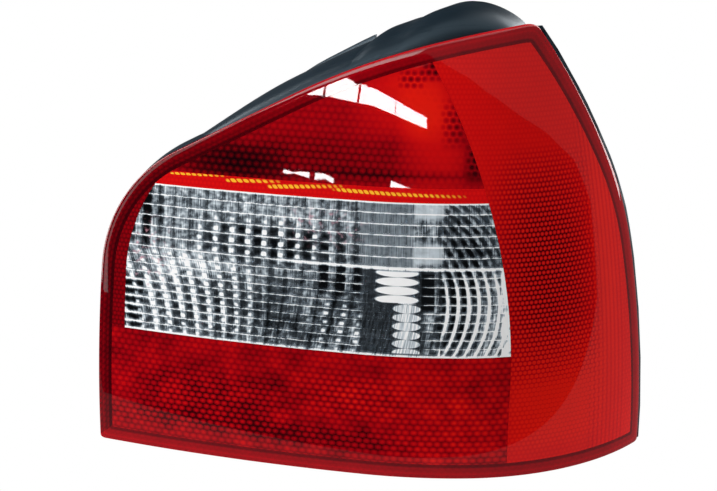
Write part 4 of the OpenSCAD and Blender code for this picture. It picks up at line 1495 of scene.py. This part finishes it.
@dataclass
class Fittings:
    """Bulbs, carrier, contact strips, seals, studs and the breather's cap."""

    shop: Workshop
    corner: Vector
    studs: tuple[Place, ...] = ((44.0, 138.0), (30.0, 30.0), (200.0, 40.0))
    thread_radius: float = 2.99
    thread_depth: float = 0.16
    thread_pitch: float = 1.0
    thread_start: float = 127.0
    thread_length: float = 15.0
    thread_root: float = 0.1
    thread_steps: int = 24
    sharp_angle: float = 30.0

    def build(self) -> None:
        """Dresses each node in its finish and cuts the studs' threads."""
        for lamp in ("brake", "tail", "turn", "reverse", "fog"):
            glass = (AMBER, Slot.AMBER) if lamp == "turn" else (GLASS, Slot.GLASS)
            self.shop.smoothed(f"{lamp}_bulb_glass", *glass)
            self.shop.smoothed(f"{lamp}_bulb_cap", CAP, Slot.CAP)
            self.shop.smoothed(f"{lamp}_strip", BRASS, Slot.BRASS)
        for node, finish, slot in (
            ("earth_strip", BRASS, Slot.BRASS),
            ("bulb_carrier", CARRIER, Slot.CARRIER),
            ("carrier_seal", FOAM, Slot.FOAM),
            ("lens_seal", SEALANT, Slot.SEALANT),
            ("body_gasket", FOAM, Slot.FOAM),
            ("mounting_studs", ZINC, Slot.ZINC),
            ("vent_cap", VENT, Slot.VENT),
        ):
            self.shop.smoothed(node, finish, slot)
        for k, place in enumerate(self.studs):
            self.thread(f"stud_thread_{k}", place)

    def thread(self, name: str, place: Place) -> bpy.types.Object:
        """Turns the ridges of one stud's thread.

        Args:
            name: The piece's name.
            place: The stud's x and z in the lens's millimetres.

        Returns:
            The object.
        """
        mesh = bmesh.new()
        centre = self.corner + Vector((place[0], 0.0, place[1])) * MM
        verts = []
        for k in range(int(self.thread_length / self.thread_pitch) * 2 + 1):
            radius = self.thread_radius + (self.thread_depth if k % 2 else 0.0)
            y = self.thread_start + k * self.thread_pitch / 2
            verts.append(mesh.verts.new(centre + Vector((radius, y, 0.0)) * MM))
        edges = [mesh.edges.new(pair) for pair in zip(verts, verts[1:])]
        for end in (verts[0], verts[-1]):
            root = mesh.verts.new(end.co - Vector((self.thread_radius * self.thread_root, 0.0, 0.0)) * MM)
            edges.append(mesh.edges.new((end, root)))
        bmesh.ops.spin(
            mesh, geom=verts + edges, axis=(0, 1, 0), cent=centre, steps=self.thread_steps,
            angle=2 * math.pi, use_merge=True,
        )
        bmesh.ops.recalc_face_normals(mesh, faces=mesh.faces[:])
        return self.shop.piece(mesh, name, ZINC, Slot.ZINC, ("mounting_studs",), self.sharp_angle)


@dataclass(frozen=True)
class Panel:
    """A glowing panel on a far sphere round the lamp.

    Its lower and upper edge are elevations in degrees over the azimuth, and its sides are azimuths,
    0 towards -Y and positive towards +X.
    """

    name: str
    low: Line
    high: Line
    sides: Place
    strength: float
    cells: tuple[int, int] = (24, 12)

    def mesh(self, radius: float) -> Mesh:
        """Returns the panel's mesh on a sphere of a radius in metres."""
        mesh = bmesh.new()
        bmesh.ops.create_grid(mesh, x_segments=self.cells[0], y_segments=self.cells[1], size=0.5)
        for vert in mesh.verts:
            azimuth = lerp(*self.sides, vert.co.x + 0.5)
            elevation = math.radians(lerp(self.low(azimuth), self.high(azimuth), vert.co.y + 0.5))
            turn = math.radians(azimuth)
            flat = radius * math.cos(elevation)
            vert.co = (flat * math.sin(turn), -flat * math.cos(turn), radius * math.sin(elevation))
        return mesh


def level(elevation: float) -> Line:
    """Returns an edge that stays at one elevation."""
    return track((0.0, elevation))


WALL_TOP = level(40)
UPPER_EDGE = track((14, 28.5), (21, 27.8), (54, 20.7), (80, 13.8), (97, 7.5), (104, 1.9))
PANE_LOW = track((-4.8, 20.6), (-3.0, 20.9), (1.0, 20.4), (10.0, 19.6), (20.8, 18.2))
PANE_HIGH = track((-4.8, 20.8), (-3.3, 22.4), (-1.6, 23.6), (0.6, 22.8), (10.3, 21.5), (20.8, 19.6))
SMALL_LOW = track(
    (-7, 10.6), (-5.6, 10.3), (-4.8, 10.5), (-4, 10.3), (-2.6, 10.1), (-1.5, 10.3), (-0.6, 10), (20, 10.2)
)
SMALL_HIGH = track(
    (-7, 10.6), (-5.6, 10.8), (-5, 10.6), (-4.2, 10.8), (-1.6, 10.9), (-0.6, 10.4), (10, 11), (20, 10.3)
)
PANELS = (
    Panel("overhead", level(44), level(88), (-50.0, 180.0), 1.5),
    Panel("left_wall", level(-38), WALL_TOP, (-106.0, -72.0), 9.0),
    Panel("left_slot", level(-8), WALL_TOP, (-60.0, -44.0), 8.0),
    Panel("left_reed", level(-8), WALL_TOP, (-34.0, -24.0), 1.6),
    Panel("far_wall", level(-25), level(44), (134.0, 178.0), 6.5),
    Panel("upper_veil", UPPER_EDGE, level(43), (14.0, 104.0), 0.22),
    Panel("side_veil", level(-22), level(43), (104.0, 132.0), 0.22),
    Panel("window_pane_0", PANE_LOW, PANE_HIGH, (-4.8, -3.2), 26.0),
    Panel("window_pane_1", PANE_LOW, PANE_HIGH, (-2.95, 0.6), 26.0),
    Panel("window_pane_2", PANE_LOW, PANE_HIGH, (0.85, 9.95), 26.0),
    Panel("window_pane_3", PANE_LOW, PANE_HIGH, (10.2, 20.8), 26.0),
    Panel("small_pane_0", SMALL_LOW, SMALL_HIGH, (-6.0, -3.2), 26.0),
    Panel("small_pane_1", SMALL_LOW, SMALL_HIGH, (-2.6, -0.6), 26.0),
    Panel("small_pane_2", SMALL_LOW, SMALL_HIGH, (10.0, 19.0), 26.0),
    Panel("edge_streak", track((-9.5, 17.6), (-1.3, 23.4)), track((-9.5, 17.9), (-1.3, 23.7)), (-9.5, -1.3), 7.0),
    Panel("strip_light", level(31), level(43), (-45.0, 14.0), 5.0),
)


@dataclass
class Studio:
    """Camera, pale floor and the soft lights round the lamp, in metres and degrees.

    A light's strengths are those to the camera, in a glossy reflection and otherwise.
    """

    camera_place: Vector = field(default_factory=lambda: Vector((0.47185, -0.78151, 0.24263)))
    azimuth: float = 28.0
    pitch: float = 17.93
    lens: float = 80.33
    sensor: float = 36.0
    sky_radius: float = 60.0
    floor_gap: float = 0.001
    floor_edge: Place = (-0.06, -0.186)
    floor_turn: float = 20.3
    floor_size: float = 3.0
    floor_strengths: tuple[float, float, float] = (1.0, 0.22, 0.9)
    world_strengths: tuple[float, float, float] = (1.0, 0.02, 0.08)
    max_bounces: int = 24
    transmission_bounces: int = 18
    glossy_bounces: int = 12

    def camera(self) -> None:
        """Adds the camera at the photograph's place."""
        data = bpy.data.cameras.new("camera")
        data.sensor_width = self.sensor
        data.lens = self.lens
        obj = bpy.data.objects.new("camera", data)
        obj.location = self.camera_place
        obj.rotation_euler = (math.radians(90 - self.pitch), 0.0, math.radians(self.azimuth))
        bpy.context.scene.collection.objects.link(obj)
        bpy.context.scene.camera = obj

    def glow(self, name: str, strength: float) -> bpy.types.Material:
        """Returns an even white light source's material."""

        def fill(_tree: Tree, shader: bpy.types.Node) -> None:
            """Makes a shader glow and nothing else."""
            shader.inputs["Base Color"].default_value = (0.0, 0.0, 0.0, 1.0)
            shader.inputs["Specular IOR Level"].default_value = 0.0
            shader.inputs["Emission Color"].default_value = (1.0, 1.0, 1.0, 1.0)
            shader.inputs["Emission Strength"].default_value = strength

        return dressed(name, fill)

    def stage(self, mesh: Mesh, name: str, material: bpy.types.Material, seen: bool) -> None:
        """Adds a piece of the stage.

        Args:
            mesh: Its bmesh, which is freed.
            name: Its name.
            material: Its material.
            seen: Whether the camera sees it.
        """
        data = bpy.data.meshes.new(name)
        mesh.to_mesh(data)
        mesh.free()
        data.materials.append(material)
        obj = bpy.data.objects.new(name, data)
        obj.visible_camera = seen
        obj.visible_shadow = False
        bpy.context.scene.collection.objects.link(obj)
        obj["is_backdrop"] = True

    def floor(self, height: float) -> None:
        """Adds the pale floor under the lamp."""
        mesh = bmesh.new()
        bmesh.ops.create_grid(mesh, x_segments=1, y_segments=1, size=1.0)
        turn = math.radians(self.floor_turn)
        for vert in mesh.verts:
            across, back = vert.co.x * self.floor_size, (vert.co.y + 1.0) * self.floor_size
            x = self.floor_edge[0] + across * math.cos(turn) - back * math.sin(turn)
            y = self.floor_edge[1] + across * math.sin(turn) + back * math.cos(turn)
            vert.co = (x, y, height)
        material = self.glow("pale floor", 1.0)
        tree = material.node_tree
        strength = self.by_ray(tree, *self.floor_strengths)
        tree.links.new(strength.socket, tree.nodes["Principled BSDF"].inputs["Emission Strength"])
        self.stage(mesh, "floor", material, True)

    def by_ray(self, tree: Tree, seen: float, mirrored: float, other: float) -> Term:
        """Returns a strength that depends on how the light is seen.

        Args:
            tree: The node tree to work in.
            seen: Strength to the camera.
            mirrored: Strength in a glossy reflection.
            other: Strength otherwise.

        Returns:
            The strength.
        """
        path = tree.nodes.new("ShaderNodeLightPath")
        camera = Term(tree, path.outputs["Is Camera Ray"])
        glossy = Term(tree, path.outputs["Is Glossy Ray"])
        return camera * (seen - other) + glossy * (mirrored - other) + other

    def world(self) -> None:
        """Sets the white surroundings, dimmer in reflections than to the eye."""
        world = bpy.data.worlds.new("surroundings")
        bpy.context.scene.world = world
        world.use_nodes = True
        tree = world.node_tree
        background = tree.nodes["Background"]
        tree.links.new(self.by_ray(tree, *self.world_strengths).socket, background.inputs["Strength"])
        background.inputs["Color"].default_value = (1.0, 1.0, 1.0, 1.0)

    def build(self, low: float) -> None:
        """Builds the camera and everything round the lamp.

        Args:
            low: Height of the lamp's lowest point.
        """
        self.camera()
        self.world()
        self.floor(low - self.floor_gap)
        for panel in PANELS:
            self.stage(panel.mesh(self.sky_radius), panel.name, self.glow(panel.name, panel.strength), False)
        scene = bpy.context.scene
        scene.view_settings.view_transform = "Standard"
        scene.cycles.max_bounces = self.max_bounces
        scene.cycles.transmission_bounces = self.transmission_bounces
        scene.cycles.glossy_bounces = self.glossy_bounces


def main() -> None:
    """Builds the lamp round its frame."""
    logging.basicConfig(level=logging.INFO, format="%(message)s")
    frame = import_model()
    solid_box = [list(corner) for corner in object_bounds()]
    shop = Workshop(frame)
    form = LensForm(corner=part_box("red_lens")[0])
    Studio().build(solid_box[0][2])
    Lens(form, shop).build()
    Reflector(form, shop).build()
    Housing(form, shop).build()
    Fittings(shop, form.corner).build()


if __name__ == "__main__":
    main()
